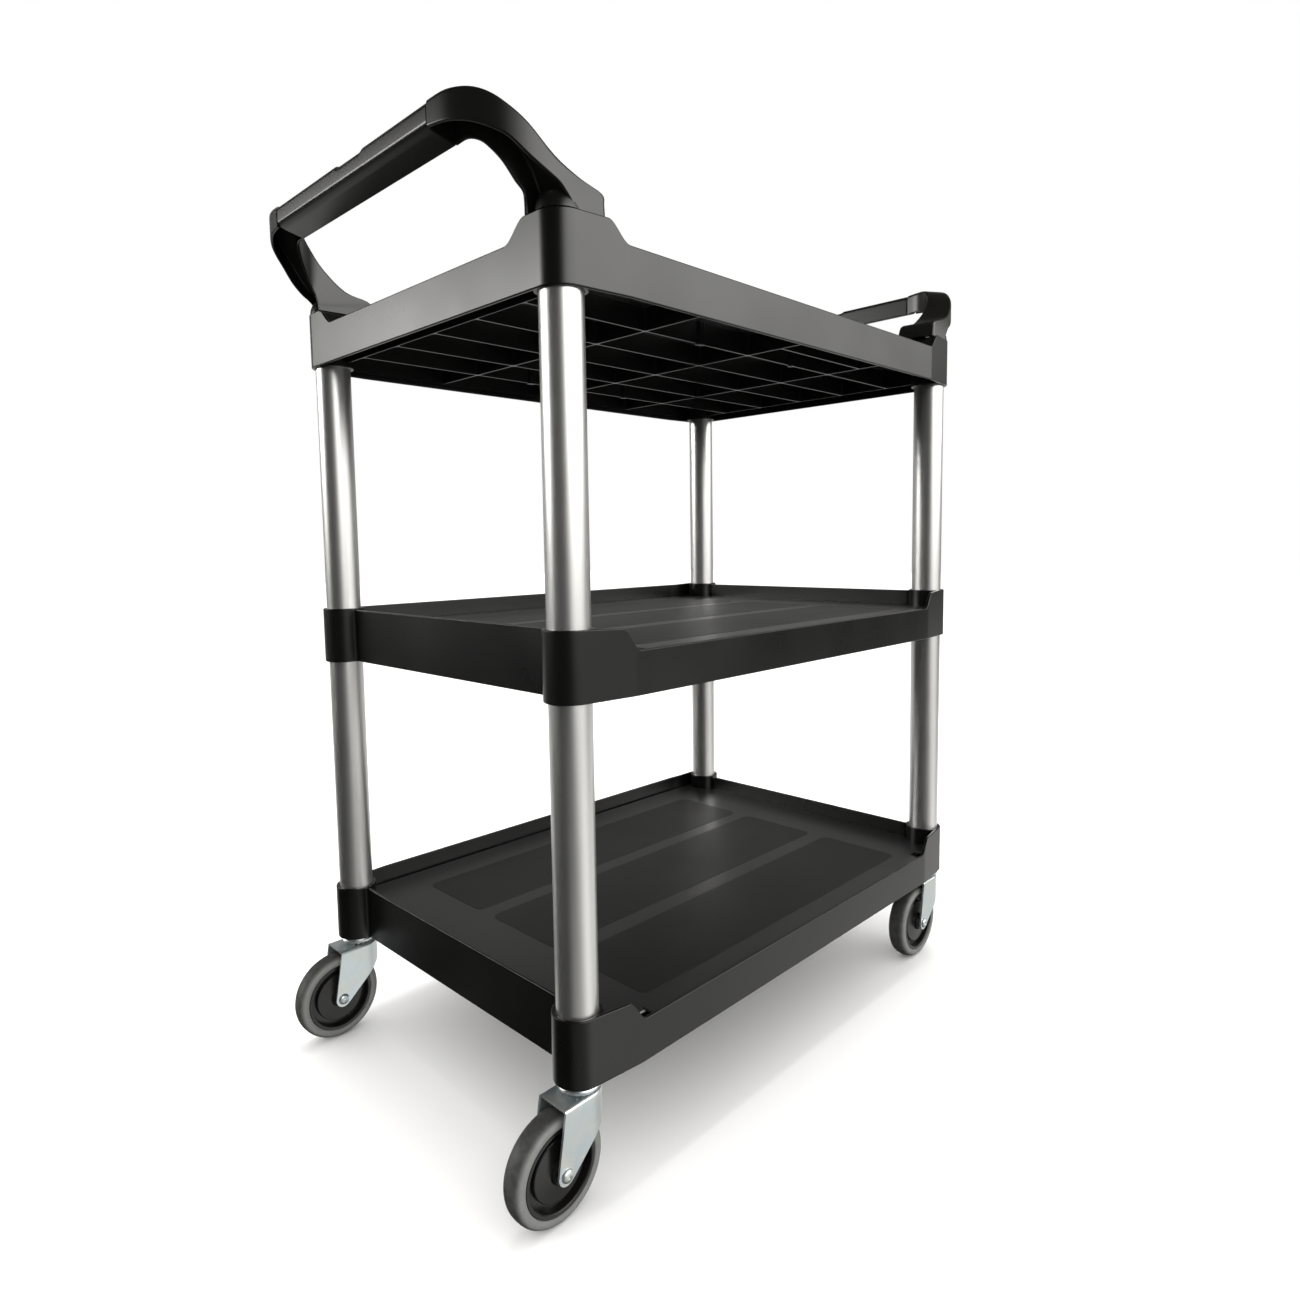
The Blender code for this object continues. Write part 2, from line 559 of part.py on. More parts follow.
def axle_cylinder(radius: float, y_low: float, y_high: float, sides: int = AXLE_SIDES):
    """A cylinder along the axle, in a caster's own coordinates."""
    builder = bmesh.new()
    centre = Matrix.Translation((-TRAIL, (y_low + y_high) / 2, WHEEL_RADIUS))
    bmesh.ops.create_cone(builder, cap_ends=True, segments=sides, radius1=radius, radius2=radius,
                          depth=y_high - y_low, matrix=centre @ Matrix.Rotation(math.pi / 2, 4, "X"))
    return mesh_from(builder)


def ball_ring(corner: str, pivot, group):
    """Make the ring of bearing balls between the race and the crown, as one torus."""
    bpy.ops.mesh.primitive_torus_add(major_segments=16, minor_segments=4, major_radius=BALL_TRACK_RADIUS,
                                     minor_radius=BALL_RADIUS)
    made = bpy.context.object
    mesh = made.data.copy()
    bpy.data.objects.remove(made, do_unlink=True)
    mesh.transform(Matrix.Translation((0, 0, (RACE_BOTTOM_Z + CROWN_Z) / 2)))
    return adopt(corner + "_swivel_balls", mesh, group, "zinc_steel", pivot)


def axle_set(corner: str, pivot, group, cutters) -> None:
    """Make the axle bolt, its nut and the sleeve that the wheel turns on."""
    overlap = LEG_PLATE / 2
    shank = axle_cylinder(AXLE_RADIUS, -LEG_OUTER_Y - overlap, LEG_OUTER_Y + AXLE_TAIL)
    bolt = adopt(corner + "_axle_bolt", shank, group, "zinc_steel", pivot)
    head = axle_cylinder(AXLE_HEAD_RADIUS, -LEG_OUTER_Y - FIT_GAP - AXLE_HEAD_HEIGHT, -LEG_OUTER_Y - FIT_GAP)
    combine(bolt, "UNION", head, cutters)
    nut_low = LEG_OUTER_Y + FIT_GAP
    hexagon = axle_cylinder(AXLE_HEAD_RADIUS, nut_low, nut_low + NUT_HEIGHT, 6)
    nut = adopt(corner + "_axle_nut", hexagon, group, "zinc_steel", pivot)
    combine(nut, "DIFFERENCE", axle_cylinder(AXLE_RADIUS + FIT_GAP, 0.0, 2 * HUB_WIDTH), cutters)
    sleeve_half = LEG_INNER_Y - FIT_GAP
    sleeve = adopt(corner + "_axle_sleeve", axle_cylinder(SLEEVE_RADIUS, -sleeve_half, sleeve_half), group,
                   "zinc_steel", pivot)
    combine(sleeve, "DIFFERENCE", axle_cylinder(AXLE_RADIUS + FIT_GAP, -HUB_WIDTH, HUB_WIDTH), cutters)


def caster_wheel(corner: str, pivot, group) -> None:
    """Make the hub and the rubber tread round it, both on the axle."""
    flat_scale = 1 / math.cos(math.pi / WHEEL_SIDES)
    rim = WHEEL_RADIUS - TREAD_DEPTH
    half = HUB_WIDTH / 2
    tread_half = TREAD_WIDTH / 2
    lip_half = tread_half - HUB_LIP_STEP
    web_inner, web_outer = HUB_WEB_RADII
    hub_profile = [(SLEEVE_RADIUS + FIT_GAP, half), (HUB_BOSS_RADIUS, half), (web_inner, HUB_WEB_HALF),
                   (web_outer, HUB_WEB_HALF), (rim - FIT_GAP, lip_half)]
    shoulder_down, shoulder_in = TREAD_SHOULDER
    tread_profile = [(rim, lip_half), (rim + TREAD_FLANK_RISE, tread_half),
                     (WHEEL_RADIUS - shoulder_down, tread_half - shoulder_in),
                     (WHEEL_RADIUS, TREAD_RUNNING_HALF)]
    pieces = (("hub", hub_profile, "hub_plastic"), ("tread", tread_profile, "grey_rubber"))
    for label, half_profile, finish in pieces:
        side = [(radius * flat_scale, width) for radius, width in half_profile]
        profile = side + [(radius, -width) for radius, width in reversed(side)]
        name = corner + "_wheel_" + label
        piece = turned(name, profile, WHEEL_SIDES, group, finish, pivot, flat_down=True)
        piece.rotation_euler = (math.pi / 2, 0.0, 0.0)
        piece.location = (-TRAIL, 0.0, WHEEL_RADIUS)


def caster(corner: str, group, cutters) -> None:
    """Make one swivel caster on its upright's axis."""
    sx, sy = CORNERS[corner]
    centre = (sx * POST_X, sy * POST_Y)
    caster_stem(corner, centre, group)
    pivot = bpy.data.objects.new(corner + "_caster_pivot", None)
    group.objects.link(pivot)
    caster_fork(corner, pivot, group, cutters)
    ball_ring(corner, pivot, group)
    axle_set(corner, pivot, group, cutters)
    caster_wheel(corner, pivot, group)
    pivot.location = (*centre, 0.0)


# ---------------------------------------------------------------- assembly
def build() -> None:
    """Build the whole cart."""
    clear_scene()
    cart = collection("rolling_utility_cart")
    cutters = collection("cutters")
    middle_z = BOTTOM_SHELF_Z + SHELF_PITCH
    top_z = TOWER_TOP_Z - TOP_SHELF_HEIGHT
    lower_shelf("bottom_shelf", BOTTOM_SHELF_Z, False, cart, cutters)
    lower_shelf("middle_shelf", middle_z, True, cart, cutters)
    top_shelf(top_z, cart, cutters)
    seat_drop = SOCKET_DEPTH - FIT_GAP
    for corner, (sx, sy) in CORNERS.items():
        centre = (sx * POST_X, sy * POST_Y)
        for level, shelf_z, next_z in (("lower", BOTTOM_SHELF_Z, middle_z), ("upper", middle_z, top_z)):
            upright(corner + "_" + level + "_upright", centre, shelf_z + SHELF_HEIGHT - seat_drop,
                    next_z + seat_drop, cart, cutters)
        handle_arm(corner, cart, cutters)
        handle_screws(corner, cart)
        caster(corner, cart, cutters)
    handle_grip("left_handle_grip", -1, cart, cutters)
    handle_grip("right_handle_grip", 1, cart, cutters)
    bpy.context.view_layer.update()


build()
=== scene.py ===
"""Looks of a rolling utility cart: three moulded trays, tube uprights, push handles and swivel casters.

Each class makes the fine surface of one sub-assembly in place of its plain solids.  All sizes are in
metres in the cart's own frame: the origin is on the floor under its centre, +X runs along the length and
+Z is up.  Casters are made once round their swivel axis and then placed on each corner.
"""
import json
import logging
import math
from dataclasses import dataclass
from enum import Enum
from typing import Callable, Mapping, Optional, Sequence, Union

import bmesh
import bpy
from mathutils import Matrix, Vector


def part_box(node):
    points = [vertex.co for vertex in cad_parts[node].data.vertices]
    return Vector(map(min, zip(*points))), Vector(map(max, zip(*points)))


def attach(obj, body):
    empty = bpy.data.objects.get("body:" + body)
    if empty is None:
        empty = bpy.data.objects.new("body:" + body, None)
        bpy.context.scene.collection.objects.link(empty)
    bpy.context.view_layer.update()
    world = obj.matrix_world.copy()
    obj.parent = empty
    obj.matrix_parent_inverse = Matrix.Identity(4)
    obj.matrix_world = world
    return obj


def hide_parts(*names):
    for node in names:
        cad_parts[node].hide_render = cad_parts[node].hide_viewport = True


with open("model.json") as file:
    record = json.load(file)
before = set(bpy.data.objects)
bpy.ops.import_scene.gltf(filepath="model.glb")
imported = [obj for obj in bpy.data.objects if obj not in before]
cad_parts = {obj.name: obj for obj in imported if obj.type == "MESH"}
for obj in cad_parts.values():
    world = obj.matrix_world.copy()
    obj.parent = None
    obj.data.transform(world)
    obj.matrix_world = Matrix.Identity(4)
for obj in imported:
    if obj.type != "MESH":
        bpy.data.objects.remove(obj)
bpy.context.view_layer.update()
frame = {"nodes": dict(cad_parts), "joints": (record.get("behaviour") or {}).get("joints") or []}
LOG = logging.getLogger("utility_cart")

Point2 = tuple[float, float]
Point3 = tuple[float, float, float]      # a place, a colour or three sizes
TREAD_SHADE_AND_WEAR = "tread_shade_and_wear"               # attribute of a tyre: 0 on its flanks, 1 on its running face, which it darkens with painted shade and makes rougher for wear
MERGE = 1e-6                # vertices closer than this are one
CREASE_ANGLE = 32.0         # degrees; sharper edges stay crisp in shading
LEVELS = 2                  # segments of a fine bevel


class Corner(Enum):
    """The cart's four corners, with their side of the length and of the width."""

    FRONT_LEFT = ("front_left", -1, -1)
    FRONT_RIGHT = ("front_right", 1, -1)
    REAR_LEFT = ("rear_left", -1, 1)
    REAR_RIGHT = ("rear_right", 1, 1)

    def __init__(self, label: str, side_x: int, side_y: int) -> None:
        """Keep the corner's label and sides."""
        self.label, self.side_x, self.side_y = label, side_x, side_y

    def joint_place(self, ending: str) -> Vector:
        """A point on the axis of one of the corner's two joints."""
        name = self.label + ending
        return Vector(next(joint["pos_m"] for joint in frame["joints"] if joint["name"] == name))

    @property
    def post(self) -> Point2:
        """The upright's axis, which is also the caster's swivel axis."""
        place = self.joint_place("_swivel")
        return place.x, place.y

    @property
    def wheel_axis(self) -> Vector:
        """A point on the wheel's axle, in the cart's frame."""
        return self.joint_place("_wheel_spin")

    @property
    def mirror(self) -> Matrix:
        """What takes a piece made in the +X +Y corner to this one."""
        return Matrix.Diagonal((self.side_x, self.side_y, 1.0, 1.0))


class Slot(Enum):
    """The record's finish slots."""

    PLASTIC = "black_plastic"
    GRIP = "grip_plastic"
    ALUMINIUM = "aluminium"
    ZINC = "zinc_steel"
    HUB = "hub_plastic"
    RUBBER = "grey_rubber"


# ---------------------------------------------------------------- shader writing
class Signal:
    """A shader socket that takes part in Python arithmetic."""

    def __init__(self, recipe: "Recipe", socket: bpy.types.NodeSocket) -> None:
        """Keep the socket and the recipe that owns it."""
        self.recipe = recipe
        self.socket = socket

    def _math(self, operation: str, first: "Value", second: "Value") -> "Signal":
        """Add one Math node."""
        return self.recipe.node("ShaderNodeMath", {"operation": operation}, {0: first, 1: second})

    def __add__(self, other: "Value") -> "Signal":
        """Add."""
        return self._math("ADD", self, other)

    def __radd__(self, other: "Value") -> "Signal":
        """Add, reflected."""
        return self._math("ADD", other, self)

    def __sub__(self, other: "Value") -> "Signal":
        """Subtract."""
        return self._math("SUBTRACT", self, other)

    def __rsub__(self, other: "Value") -> "Signal":
        """Subtract, reflected."""
        return self._math("SUBTRACT", other, self)

    def __mul__(self, other: "Value") -> "Signal":
        """Multiply."""
        return self._math("MULTIPLY", self, other)

    def __rmul__(self, other: "Value") -> "Signal":
        """Multiply, reflected."""
        return self._math("MULTIPLY", other, self)


Value = Union[Signal, float, int, Sequence[float]]


class Recipe:
    """One material's node tree, written with short calls."""

    def __init__(self, name: str) -> None:
        """Start a material with a Principled shader.

        Args:
            name: The material's name.
        """
        self.material = bpy.data.materials.new(name)
        self.material.use_nodes = True
        self.tree = self.material.node_tree
        self.shader = self.tree.nodes["Principled BSDF"]
        self.place = self.node("ShaderNodeTexCoord", output="Object")

    def node(self, kind: str, settings: Optional[Mapping[str, object]] = None,
             values: Optional[Mapping[Union[int, str], Value]] = None,
             output: Union[int, str] = 0) -> Signal:
        """Add a node.

        Args:
            kind: The node's type.
            settings: Its properties, set first.  The key "stops" holds a colour ramp's stops.
            values: The values or links of its input sockets.
            output: The output socket to return.

        Returns:
            The chosen output as a signal.
        """
        made = self.tree.nodes.new(kind)
        for key, setting in (settings or {}).items():
            if key == "stops":
                self._stops(made, setting)
            else:
                setattr(made, key, setting)
        for key, value in (values or {}).items():
            self._feed(made.inputs[key], value)
        return Signal(self, made.outputs[output])

    def _stops(self, ramp: bpy.types.ShaderNode, stops: Sequence[tuple[float, float]]) -> None:
        """Set a grey ramp's stops, each a position and a level.

        Args:
            ramp: The colour ramp's node.
            stops: Its stops, in order.
        """
        elements = ramp.color_ramp.elements
        while len(elements) < len(stops):
            elements.new(0.5)
        for element, (position, level) in zip(elements, stops):
            element.position = position
            element.color = (level, level, level, 1.0)

    def _feed(self, socket: bpy.types.NodeSocket, value: Value) -> None:
        """Link a signal to a socket, or set the socket's own value.

        Args:
            socket: The input socket.
            value: The signal or the value.
        """
        if isinstance(value, Signal):
            self.tree.links.new(value.socket, socket)
        else:
            socket.default_value = value

    def feed(self, **values: Value) -> None:
        """Set or link the shader's own sockets, named with underscores for spaces."""
        for key, value in values.items():
            self._feed(self.shader.inputs[key.replace("_", " ").title().replace("Ior", "IOR")], value)

    def stretched(self, scale: Sequence[float]) -> Signal:
        """Object coordinates scaled along each axis."""
        return self.node("ShaderNodeMapping", {}, {"Vector": self.place, "Scale": scale})

    def noise(self, scale: float, detail: float = 3.0, where: Optional[Signal] = None,
              distortion: float = 0.0) -> Signal:
        """Noise from 0 to 1 over object coordinates.

        Args:
            scale: Cells per metre.
            detail: Octaves.
            where: Coordinates in place of the plain ones.
            distortion: How far the cells are swirled.

        Returns:
            The noise value.
        """
        return self.node("ShaderNodeTexNoise", {}, {
            "Vector": where or self.place, "Scale": scale, "Detail": detail, "Distortion": distortion})

    def ramp(self, signal: Signal, *stops: tuple[float, float]) -> Signal:
        """Pass a signal through a grey ramp."""
        return self.node("ShaderNodeValToRGB", {"stops": stops}, {"Fac": signal})

    def blend(self, factor: Value, first: Value, second: Value) -> Signal:
        """Mix two colours.

        Args:
            factor: 0 for the first, 1 for the second.
            first: A colour or a signal.
            second: A colour or a signal.

        Returns:
            The mixed colour.
        """
        made = self.tree.nodes.new("ShaderNodeMix")
        made.data_type = "RGBA"
        self._feed(made.inputs[0], factor)
        self._feed(made.inputs[6], first if isinstance(first, Signal) else (*first, 1.0))
        self._feed(made.inputs[7], second if isinstance(second, Signal) else (*second, 1.0))
        return Signal(self, made.outputs[2])

    def bump(self, height: Signal, depth: float, strength: float = 1.0) -> Signal:
        """A surface relief of the given depth in metres."""
        return self.node("ShaderNodeBump", {}, {"Height": height, "Distance": depth, "Strength": strength},
                         output="Normal")


@dataclass(frozen=True)
class MouldedPlastic:
    """Structural-foam or injection-moulded plastic: faint swirls of colour and gloss over mould grain."""

    name: str
    colour: Point3 = (0.0010, 0.0010, 0.0009)
    swirl_colour: Point3 = (0.0018, 0.0017, 0.0016)
    roughness: float = 0.30
    swirl: float = 0.10
    grain_depth: float = 0.00001
    grain_scale: float = 1400.0
    specular: float = 0.5

    def make(self) -> bpy.types.Material:
        """Build the material.

        Returns:
            The new material.
        """
        recipe = Recipe(self.name)
        cloud = recipe.noise(7.0, 2.0, distortion=0.3)
        patch = recipe.ramp(cloud, (0.05, 0.0), (0.95, 1.0))
        grain = recipe.noise(self.grain_scale, 2.0)
        recipe.feed(
            base_color=recipe.blend(patch, self.colour, self.swirl_colour),
            roughness=self.roughness + (patch - 0.5) * self.swirl,
            specular_ior_level=self.specular,
            normal=recipe.bump(grain, self.grain_depth, 0.5))
        return recipe.material


@dataclass(frozen=True)
class SatinAluminium:
    """Clear-anodised tube: fine drawn lines along its length and a faint cloud."""

    name: str = "satin_anodised_tube"
    colour: Point3 = (0.80, 0.80, 0.785)
    shade: Point3 = (0.72, 0.72, 0.705)
    roughness: float = 0.30

    def make(self) -> bpy.types.Material:
        """Build the material.

        Returns:
            The new material.
        """
        recipe = Recipe(self.name)
        lines = recipe.noise(1.0, 3.0, where=recipe.stretched((2200.0, 2200.0, 7.0)))
        cloud = recipe.noise(26.0, 4.0)
        recipe.feed(
            base_color=recipe.blend(lines * 0.6 + cloud * 0.4, self.shade, self.colour),
            metallic=1.0,
            roughness=self.roughness + lines * 0.07 + cloud * 0.04,
            normal=recipe.bump(lines, 0.000012, 0.5))
        return recipe.material


@dataclass(frozen=True)
class ZincPlate:
    """Bright zinc plating: a cold blue-grey with faint yellow passages, spangle and press marks."""

    name: str = "bright_zinc_plate"
    cold: Point3 = (0.55, 0.62, 0.65)
    warm: Point3 = (0.66, 0.68, 0.64)
    roughness: float = 0.26

    def make(self) -> bpy.types.Material:
        """Build the material.

        Returns:
            The new material.
        """
        recipe = Recipe(self.name)
        passage = recipe.ramp(recipe.noise(42.0, 3.0, distortion=0.8), (0.35, 0.0), (0.70, 1.0))
        spangle = recipe.node("ShaderNodeTexVoronoi", {"feature": "F1"},
                              {"Vector": recipe.place, "Scale": 420.0})
        marks = recipe.noise(190.0, 5.0)
        recipe.feed(
            base_color=recipe.blend(passage, self.cold, self.warm),
            metallic=0.92,
            roughness=self.roughness + passage * 0.08 + marks * 0.10,
            normal=recipe.bump(marks + spangle * 0.3, 0.00005, 0.35))
        return recipe.material


@dataclass(frozen=True)
class TyreRubber:
    """Non-marking grey rubber: a dull bloom on the flanks, painted shade that darkens the running face, and
    mould grain.
    """

    name: str = "grey_tyre_rubber"
    clean: Point3 = (0.160, 0.165, 0.158)
    bloomed: Point3 = (0.130, 0.134, 0.128)
    # painted shade: the dark colour laid on the running face
    painted_tread_shade: Point3 = (0.016, 0.015, 0.013)

    def make(self) -> bpy.types.Material:
        """Build the material, which reads each tyre's own mask for the painted shade and wear of its running
        face.

        Returns:
            The new material.
        """
        recipe = Recipe(self.name)
        scuffs = recipe.ramp(recipe.noise(120.0, 6.0, distortion=0.6), (0.42, 0.0), (0.75, 1.0))
        bloom = recipe.noise(18.0, 3.0)
        grain = recipe.noise(1800.0, 2.0)
        # mask of the running face: it lays the painted shade on the colour and adds wear to the roughness
        tread_shade_and_wear = recipe.node("ShaderNodeAttribute", {"attribute_name": TREAD_SHADE_AND_WEAR}, output="Fac")
        flank = recipe.blend(scuffs * 0.5 + bloom * 0.4, self.clean, self.bloomed)
        recipe.feed(
            base_color=recipe.blend(tread_shade_and_wear * (0.85 + scuffs * 0.15), flank, self.painted_tread_shade),
            roughness=0.46 + scuffs * 0.12 + tread_shade_and_wear * 0.08,
            specular_ior_level=0.45,
            normal=recipe.bump(grain + scuffs * 0.6, 0.00003, 0.5))
        return recipe.material


@dataclass(frozen=True)
class StudioFloor:
    """Plain white paint."""

    name: str = "white_floor"
    colour: tuple[float, float, float, float] = (0.93, 0.93, 0.93, 1.0)

    def make(self) -> bpy.types.Material:
        """Build the material.

        Returns:
            The new material.
        """
        recipe = Recipe(self.name)
        recipe.feed(base_color=self.colour, roughness=0.9, specular_ior_level=0.0)
        return recipe.material


FOAM_SKIN = MouldedPlastic("foam_skin", swirl=0.16)
DECK_PANEL = MouldedPlastic("deck_panel", colour=(0.0016, 0.0015, 0.0016), roughness=0.46, swirl=0.08,
                            grain_depth=0.00003)
DECK_BAND = MouldedPlastic("deck_band", colour=(0.0100, 0.0096, 0.0098),
                           swirl_colour=(0.0130, 0.0126, 0.0128), roughness=0.33, swirl=0.12)
RIB_SKIN = MouldedPlastic("rib_skin", colour=(0.0018, 0.0018, 0.0017), roughness=0.34, swirl=0.06)
HANDLE_SKIN = MouldedPlastic("handle_skin", colour=(0.0018, 0.0017, 0.0015),
                             swirl_colour=(0.0030, 0.0029, 0.0026), swirl=0.08)
HUB_SKIN = MouldedPlastic("hub_skin", colour=(0.0040, 0.0036, 0.0035), swirl_colour=(0.0070, 0.0064, 0.0062),
                          swirl=0.08)
ALUMINIUM = SatinAluminium()
ZINC = ZincPlate()
RUBBER = TyreRubber()
Finish = Union[MouldedPlastic, SatinAluminium, ZincPlate, TyreRubber, StudioFloor]
_MADE: dict[str, bpy.types.Material] = {}


def material_of(finish: Finish) -> bpy.types.Material:
    """Return a finish's material, built the first time it is asked for.

    Args:
        finish: The finish.

    Returns:
        Its one material.
    """
    if finish.name not in _MADE:
        _MADE[finish.name] = finish.make()
    return _MADE[finish.name]


# ---------------------------------------------------------------- mesh helpers
def arc(centre: Point2, radius: float, start: float, end: float, steps: int) -> list[Point2]:
    """Points on an arc in a plane, angles in degrees."""
    angles = [math.radians(start + (end - start) * step / steps) for step in range(steps + 1)]
    return [(centre[0] + radius * math.cos(angle), centre[1] + radius * math.sin(angle)) for angle in angles]


def all_round(quarter: Sequence[Point2]) -> list[Point2]:
    """Complete a plan from its +X +Y quarter, which runs from the end face to the long side."""
    half = list(quarter) + [(-x, y) for x, y in reversed(quarter)]
    return half + [(-x, -y) for x, y in half]


def both_sides(half: Sequence[Point2]) -> list[Point2]:
    """Complete a wheel's profile of (radius, width) points from its near half."""
    return list(half) + [(radius, -width) for radius, width in reversed(half)]


def smooth_step(value: float) -> float:
    """Ease from 0 to 1 with flat ends."""
    clamped = max(0.0, min(1.0, value))
    return clamped * clamped * (3.0 - 2.0 * clamped)


def raised(grown: Mapping[str, Sequence[object]]) -> list[bmesh.types.BMVert]:
    """The new vertices of an extruded region."""
    return [item for item in grown["geom"] if isinstance(item, bmesh.types.BMVert)]


def slab(points: Sequence[Point2], low: float, high: float) -> bmesh.types.BMesh:
    """Extrude a plan outline into a closed plate.

    Args:
        points: The plan outline.
        low: Height of the plate's underside.
        high: Height of its top.

    Returns:
        The plate.
    """
    builder = bmesh.new()
    face = builder.faces.new([builder.verts.new((x, y, low)) for x, y in points])
    grown = bmesh.ops.extrude_face_region(builder, geom=[face])
    bmesh.ops.translate(builder, vec=(0.0, 0.0, high - low), verts=raised(grown))
    bmesh.ops.recalc_face_normals(builder, faces=builder.faces)
    return builder


def ring_wall(points: Sequence[Point2], thickness: float, low_at: Callable[[float, float], float],
              high_at: Callable[[float, float], float]) -> bmesh.types.BMesh:
    """Make a closed wall that follows a plan outline.

    Args:
        points: The outer outline.
        thickness: Wall thickness, inwards.
        low_at: Height of the wall's bottom edge at a plan point.
        high_at: Height of its top edge at a plan point.

    Returns:
        The wall as a closed body.
    """
    builder = bmesh.new()
    face = builder.faces.new([builder.verts.new((x, y, 0.0)) for x, y in points])
    builder.normal_update()
    bmesh.ops.inset_region(builder, faces=[face], thickness=thickness, use_even_offset=True,
                           use_boundary=True)
    bmesh.ops.delete(builder, geom=[face], context="FACES_ONLY")
    grown = bmesh.ops.extrude_face_region(builder, geom=list(builder.faces))
    upper = set(raised(grown))
    for vert in builder.verts:
        level = high_at if vert in upper else low_at
        vert.co.z = level(vert.co.x, vert.co.y)
    bmesh.ops.recalc_face_normals(builder, faces=builder.faces)
    return builder


def soften(builder: bmesh.types.BMesh, width: float, angle: float = 40.0, segments: int = LEVELS,
           only: Optional[Callable[[bmesh.types.BMEdge], bool]] = None) -> None:
    """Round a body's edges.

    Args:
        builder: The body.
        width: Size of the round.
        angle: Only edges that turn more than this many degrees.
        segments: Steps across the round.
        only: A further test that an edge has to pass.
    """
    least = math.radians(angle)
    edges = [edge for edge in builder.edges
             if edge.is_manifold and edge.calc_face_angle(0.0) > least and (not only or only(edge))]
    bmesh.ops.bevel(builder, geom=edges, offset=width, offset_type="OFFSET", affect="EDGES", segments=segments,
                    profile=0.5, material=-1, clamp_overlap=True)


def turned(profile: Sequence[Point2], steps: int, closed: bool = True) -> bmesh.types.BMesh:
    """Turn a profile of (radius, height) points about Z.

    Args:
        profile: A closed loop, or an open line whose ends lie on the axis.
        steps: Facets round the axis.
        closed: Whether the profile is a loop.

    Returns:
        The turned body.
    """
    builder = bmesh.new()
    points = [builder.verts.new((radius, 0.0, height)) for radius, height in profile]
    pairs = list(zip(points, points[1:])) + ([(points[-1], points[0])] if closed else [])
    edges = [builder.edges.new(pair) for pair in pairs]
    bmesh.ops.spin(builder, geom=points + edges, cent=(0, 0, 0), axis=(0, 0, 1), angle=math.tau, steps=steps,
                   use_merge=True)
    bmesh.ops.remove_doubles(builder, verts=builder.verts, dist=MERGE)
    bmesh.ops.recalc_face_normals(builder, faces=builder.faces)
    return builder


def woven(rows: Sequence[Sequence[Vector]], wrap: bool, cap: bool) -> bmesh.types.BMesh:
    """Lay a grid over rows of points, as on a swept shape.

    Args:
        rows: Rows of equally many points.
        wrap: Whether each row closes on itself.
        cap: Whether the first and last rows are filled.

    Returns:
        The swept body.
    """
    count = len(rows[0]) + (1 if wrap else 0)
    builder = bmesh.new()
    bmesh.ops.create_grid(builder, x_segments=len(rows) - 1, y_segments=count - 1, size=1.0)
    for vert in builder.verts:
        row = round((vert.co.x + 1.0) / 2.0 * (len(rows) - 1))
        column = round((vert.co.y + 1.0) / 2.0 * (count - 1))
        vert.co = rows[row][column % len(rows[0])]
    bmesh.ops.remove_doubles(builder, verts=builder.verts, dist=MERGE)
    if cap:
        bmesh.ops.holes_fill(builder, edges=[edge for edge in builder.edges if edge.is_boundary], sides=0)
    bmesh.ops.recalc_face_normals(builder, faces=builder.faces)
    return builder


def rounded_loop(corners: Sequence[Vector], radii: Sequence[float], steps: int = 4) -> list[Vector]:
    """Round each corner of a closed loop of points by its own radius.

    Args:
        corners: The loop's sharp corners.
        radii: One radius for each corner.
        steps: Steps round each corner.

    Returns:
        The rounded loop.
    """
    loop = []
    for index, (corner, radius) in enumerate(zip(corners, radii)):
        before = corners[index - 1] - corner
        after = corners[(index + 1) % len(corners)] - corner
        start = corner + before.normalized() * min(radius, before.length * 0.45)
        end = corner + after.normalized() * min(radius, after.length * 0.45)
        for step in range(steps + 1):
            share = step / steps
            loop.append(start.lerp(corner, share).lerp(corner.lerp(end, share), share))
    return loop


def move(body: bmesh.types.BMesh, matrix: Optional[Matrix]) -> None:
    """Move a body, and keep its faces outwards when the move mirrors it.

    Args:
        body: The body.
        matrix: Where it goes, or None to leave it.
    """
    if matrix is not None:
        bmesh.ops.transform(body, matrix=matrix, verts=body.verts)
        if matrix.determinant() < 0:
            bmesh.ops.reverse_faces(body, faces=body.faces)


def add(target: bmesh.types.BMesh, part: bmesh.types.BMesh, slot_index: int = 0,
        matrix: Optional[Matrix] = None) -> None:
    """Put a part into a larger mesh and free it.

    Args:
        target: The mesh that takes it.
        part: The part.
        slot_index: Which of the piece's materials it wears.
        matrix: Where it goes.
    """
    for face in part.faces:
        face.material_index = slot_index
    move(part, matrix)
    holder = bpy.data.meshes.new("part")
    part.to_mesh(holder)
    part.free()
    target.from_mesh(holder)
    bpy.data.meshes.remove(holder)


